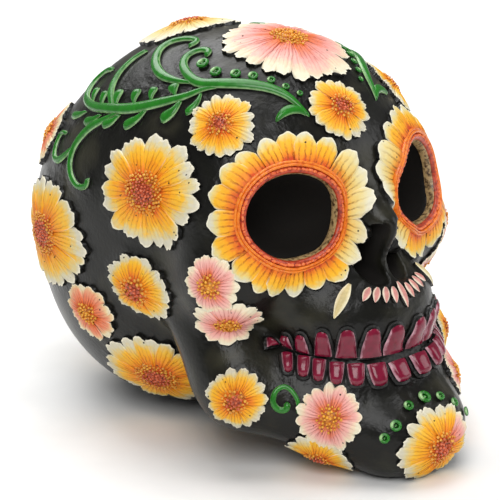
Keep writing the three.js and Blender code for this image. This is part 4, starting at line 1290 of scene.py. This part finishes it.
class SKULL_OT_teeth(Operator):
    """Models the two rows of teeth, each tooth in its scalloped black gum"""

    bl_idname = "skull.teeth"
    bl_label = "Teeth"

    def execute(self, context):
        sizes = context.scene.skull_sizes
        upper, lower = (sizes.upper_tooth, sizes.upper_gap), (sizes.lower_tooth, sizes.lower_gap)
        self.row("upper_tooth_row", UPPER_TEETH, *upper, UPPER_TAPER, 1)
        self.row("lower_tooth_row", LOWER_TEETH, *lower, LOWER_TAPER, -1)
        return {"FINISHED"}

    def row(self, name, teeth, full_height, gap, taper, gum_up):
        sizes = bpy.context.scene.skull_sizes
        turns = tuple(tooth[0] for tooth in teeth)
        crown = strip(TOOTH_CELLS, TOOTH_CELLS, "tooth", "edge")
        gum = strip(GUM_CELLS, GUM_CELLS, "edge", "edge")
        before = (-turns[0],) + turns[:-1]
        after = turns[1:] + (turns[-1] + LAST_TOOTH_SPAN,)
        pieces = []
        for side in (1, -1):
            for i, (turn, height_share, width_share, drop) in enumerate(teeth):
                starts, ends = (mouth_point((turn + other) / 2, 0) for other in (before[i], after[i]))
                width = (np.linalg.norm(ends - starts) - gap) * width_share
                height = full_height * height_share
                point = mouth_point(side * turn, gum_up * (sizes.mouth_gap + height) / 2 - drop * MM)
                seat = seat_at(point, outward(point[None])[0])
                for unit_piece, proud, grow in ((crown, sizes.tooth_proud, 0), (gum, GUM_PROUD, GUM_WIDTH)):
                    parts = strip_parts(unit_piece)
                    flat = tooth_flat(parts, width, height, proud, gum_up, grow, taper)
                    pieces.append(copied(unit_piece, walked(seat, flat)))
        removed(crown, gum)
        finished(joined(pieces), name, "magenta_teeth", angle=TOOTH_SMOOTH_DEGREES)


# Nose petals

def small_petal(seat, length, width, lean, finish):
    """A moulded drop, pointed at its upper end, leaning so many degrees from upright."""
    piece = strip(8, 10, finish, "edge")
    across, upright, foot = strip_parts(piece)
    along = (1 - upright) / 2
    swell = np.sin(np.clip(along, 0.03, 0.985) ** 0.85 * math.pi) ** 0.7
    x = -across * width / 2 * swell * MM + np.where(foot, FOOT_SPREAD * -np.sign(across), 0)
    y = length * (0.5 - along) * MM
    z = NOSE_PETAL_HEIGHT * (0.55 + 0.45 * np.cos(across * math.pi / 2) * np.sin(along * math.pi))
    reshape(piece, walked(seat, turned(x, y, np.where(foot, -SINK, z), math.radians(lean))))
    return piece


class SKULL_OT_nose_petals(Operator):
    """Models the petals laid in a fan under the nose"""

    bl_idname = "skull.nose_petals"
    bl_label = "Nose petals"

    def execute(self, context):
        for i, turn in enumerate(NOSE_PETAL_TURNS):
            seat = head_seat(turn, NOSE_PETAL_RISE + abs(turn) * NOSE_PETAL_LIFT_SHARE)
            length = NOSE_PETAL_LENGTH if turn else NOSE_MIDDLE_PETAL_LENGTH
            piece = small_petal(seat, length, NOSE_PETAL_WIDTH, NOSE_PETAL_LEAN_SHARE * turn, "nose")
            finished(piece, f"nose_petal_{i + 1}", "pink_petals")
        side = small_petal(head_seat(NOSE_SIDE_TURN, NOSE_PETAL_RISE), *NOSE_SIDE_PETAL, "nose_cream")
        finish_sides(side, "nose_side_petal", "cream_petals")
        return {"FINISHED"}


# The casting

def hollowed(piece, half_sizes, seat, wall=0):
    """Cuts an egg-shaped hollow at a seat, on one side of a wall beside the skull's middle."""
    segments, rings = CUTTER_CELLS
    cutter = added(bpy.ops.mesh.primitive_uv_sphere_add, (), segments=segments, ring_count=rings, radius=1)
    reshape(cutter, set_out(seat, coordinates(cutter) * np.array(half_sizes)))
    if wall:
        cut_off(cutter, (wall, 0, 0), (-math.copysign(1, wall), 0, 0))
    modified(piece, "BOOLEAN", operation="DIFFERENCE", solver="EXACT", object=cutter)
    removed(cutter)


class SKULL_OT_casting(Operator):
    """Models the black resin casting of the cranium, face and jaw, with its sockets and nose"""

    bl_idname = "skull.casting"
    bl_label = "Casting"

    def execute(self, context):
        sizes = context.scene.skull_sizes
        subdivisions = BALL_SUBDIVISIONS
        casting = added(bpy.ops.mesh.primitive_ico_sphere_add, (), subdivisions=subdivisions, radius=1)
        unit = coordinates(casting)
        reshape(casting, surface_points(HEAD_CENTRE, unit / length_of(unit)[:, None]))
        cut_off(casting, (0, 0, BASE_LEVEL), (0, 0, -1))
        self.cut_sockets(casting, sizes)
        self.cut_nose(casting, sizes)
        coarseness = 1
        modified(casting, "REMESH", mode="VOXEL", voxel_size=sizes.voxel * coarseness)
        modified(casting, "SMOOTH", factor=SMOOTH_SHARE, iterations=SMOOTH_ROUNDS)
        casting.data.materials.append(material_of("resin"))
        self.mark_nooks(casting)
        finished(casting, "castings", "black_resin", ["cranium_shell", "face_casting", "lower_jaw"])
        return {"FINISHED"}

    def cut_sockets(self, casting, sizes):
        half_sizes = (sizes.eye_half_width, sizes.eye_half_height, sizes.eye_depth)
        for side in (1, -1):
            flip = np.array([side, 1, 1])
            seat = {key: value * flip for key, value in eye_seat().items()}
            seat["right"] = seat["right"] * side
            hollowed(casting, half_sizes, seat)

    def cut_nose(self, casting, sizes):
        lobe = np.array([sizes.nose_half_width, sizes.nose_half_height, 0])
        depth = np.array([0, 0, sizes.nose_depth])
        for side in (-1, 1):
            for shares, size_share in ((NOSE_LOW_SHARES, 1), (NOSE_HIGH_SHARES, NOSE_HIGH_SIZE_SHARE)):
                seat = seat_at(in_skull(shares) * np.array([side, 1, 1]), FORWARD)
                hollowed(casting, lobe * size_share + depth, seat, side * sizes.septum / 2)

    def mark_nooks(self, casting):
        """Marks each point of the casting that is beside an ornament, or in a socket or the nose."""
        ornaments = [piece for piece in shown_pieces() if piece.name.endswith("_painted")]
        places = np.concatenate([coordinates(piece) for piece in ornaments])[::2]
        tree = KDTree(len(places))
        for i, place in enumerate(places):
            tree.insert(place, i)
        tree.balance()
        own = coordinates(casting)
        near = np.array([tree.find(place)[2] for place in own])
        above_foot = own[:, 2] > BASE_LEVEL + CLEAN_FOOT
        deep = np.clip(-head_distance(own) / HOLLOW_REACH - 0.4, 0, 1)
        # The nook mark sets where painted shade darkens the skull beside the ornaments, and where it is
        # lumpier
        marked(casting, "nook", np.clip(1.1 - near / NOOK_REACH, 0, 1))
        marked(casting, "deep", np.where(above_foot, deep, 0))


class SKULL_OT_felts(Operator):
    """Gives the felt pads under the base and chin their cloth"""

    bl_idname = "skull.felts"
    bl_label = "Felt pads"

    def execute(self, context):
        for name in ("base_felt", "chin_felt"):
            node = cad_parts[name]
            node.data.materials.clear()
            node.data.materials.append(material_of("felt"))
        return {"FINISHED"}


# Stage

def area_light(name, position, size, power):
    light = bpy.data.lights.new(name, "AREA")
    light.size = size
    light.energy = power
    holder = bpy.data.objects.new(name, light)
    bpy.context.collection.objects.link(holder)
    holder.location = position
    towards = Vector(STAGE_MIDDLE) - Vector(position)
    holder.rotation_euler = towards.to_track_quat("-Z", "Y").to_euler()


class SKULL_OT_stage(Operator):
    """Sets up the pale floor, the soft lights and the camera at the photograph's angle"""

    bl_idname = "skull.stage"
    bl_label = "Stage"

    def execute(self, context):
        self.floor()
        self.background()
        for light in LIGHTS:
            area_light(*light)
        self.camera()
        context.scene.view_settings.view_transform = "Standard"
        return {"FINISHED"}

    def floor(self):
        plane = added(bpy.ops.mesh.primitive_plane_add, (), size=6)
        plane.name = "floor"
        material, tree, shader, place = new_material("matt_white_board", 0.9)
        stops = [(0.3, linear("#f4f4f3")), (0.7, linear("#fafaf9"))]
        coloured(tree, shader, ramped(tree, clouds(tree, place, 0.04), stops))
        plane.data.materials.append(material)
        plane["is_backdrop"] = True

    def background(self):
        """White where the camera sees it, and a weak light on the skull."""
        world = bpy.data.worlds.new("studio")
        bpy.context.scene.world = world
        world.use_nodes = True
        tree = world.node_tree
        background = tree.nodes["Background"]
        seen = add_node(tree, "ShaderNodeLightPath").outputs["Is Camera Ray"]
        background.inputs["Color"].default_value = (1, 1, 1, 1)
        tree.links.new(ranged(tree, seen, 0, 1, 0.2, 1), background.inputs["Strength"])

    def camera(self):
        data = bpy.data.cameras.new("photo_camera")
        camera = bpy.data.objects.new("photo_camera", data)
        bpy.context.collection.objects.link(camera)
        back = directions_of([CAMERA_DIRECTION])[0]
        camera.location = np.array(STAGE_MIDDLE) + SKULL_SHIFT + back * CAMERA_DISTANCE
        camera.rotation_euler = Vector(-back).to_track_quat("-Z", "Y").to_euler()
        data.sensor_width = SENSOR_WIDTH
        data.lens = PHOTO_FOCAL / PHOTO_SIZE * SENSOR_WIDTH
        data.shift_x = (PHOTO_SIZE / 2 - PHOTO_MIDDLE[0]) / PHOTO_SIZE
        data.shift_y = (PHOTO_MIDDLE[1] - PHOTO_SIZE / 2) / PHOTO_SIZE
        data.clip_start = 0.05
        bpy.context.scene.camera = camera


class SKULL_PT_panel(Panel):
    """Lists the skull's pieces, sizes and colours in the sidebar"""

    bl_label = "Sugar skull"
    bl_idname = "SKULL_PT_panel"
    bl_space_type = "VIEW_3D"
    bl_region_type = "UI"
    bl_category = "Sugar skull"

    def draw(self, context):
        for operator in OPERATORS:
            self.layout.operator(operator.bl_idname)
        for group in (context.scene.skull_sizes, context.scene.skull_colours):
            for name in group.__annotations__:
                self.layout.prop(group, name)


OPERATORS = (
    SKULL_OT_eye_flowers,
    SKULL_OT_flowers,
    SKULL_OT_vines,
    SKULL_OT_beads,
    SKULL_OT_teeth,
    SKULL_OT_nose_petals,
    SKULL_OT_casting,
    SKULL_OT_felts,
    SKULL_OT_stage,
)
CLASSES = (SkullSizes, SkullColours, *OPERATORS, SKULL_PT_panel)


def register():
    for cls in CLASSES:
        bpy.utils.register_class(cls)
    bpy.types.Scene.skull_sizes = PointerProperty(type=SkullSizes)
    bpy.types.Scene.skull_colours = PointerProperty(type=SkullColours)


def unregister():
    del bpy.types.Scene.skull_sizes
    del bpy.types.Scene.skull_colours
    for cls in reversed(CLASSES):
        bpy.utils.unregister_class(cls)


def main():
    register()
    for operator in OPERATORS:
        group, name = operator.bl_idname.split(".")
        getattr(getattr(bpy.ops, group), name)()


if __name__ == "__main__":
    main()
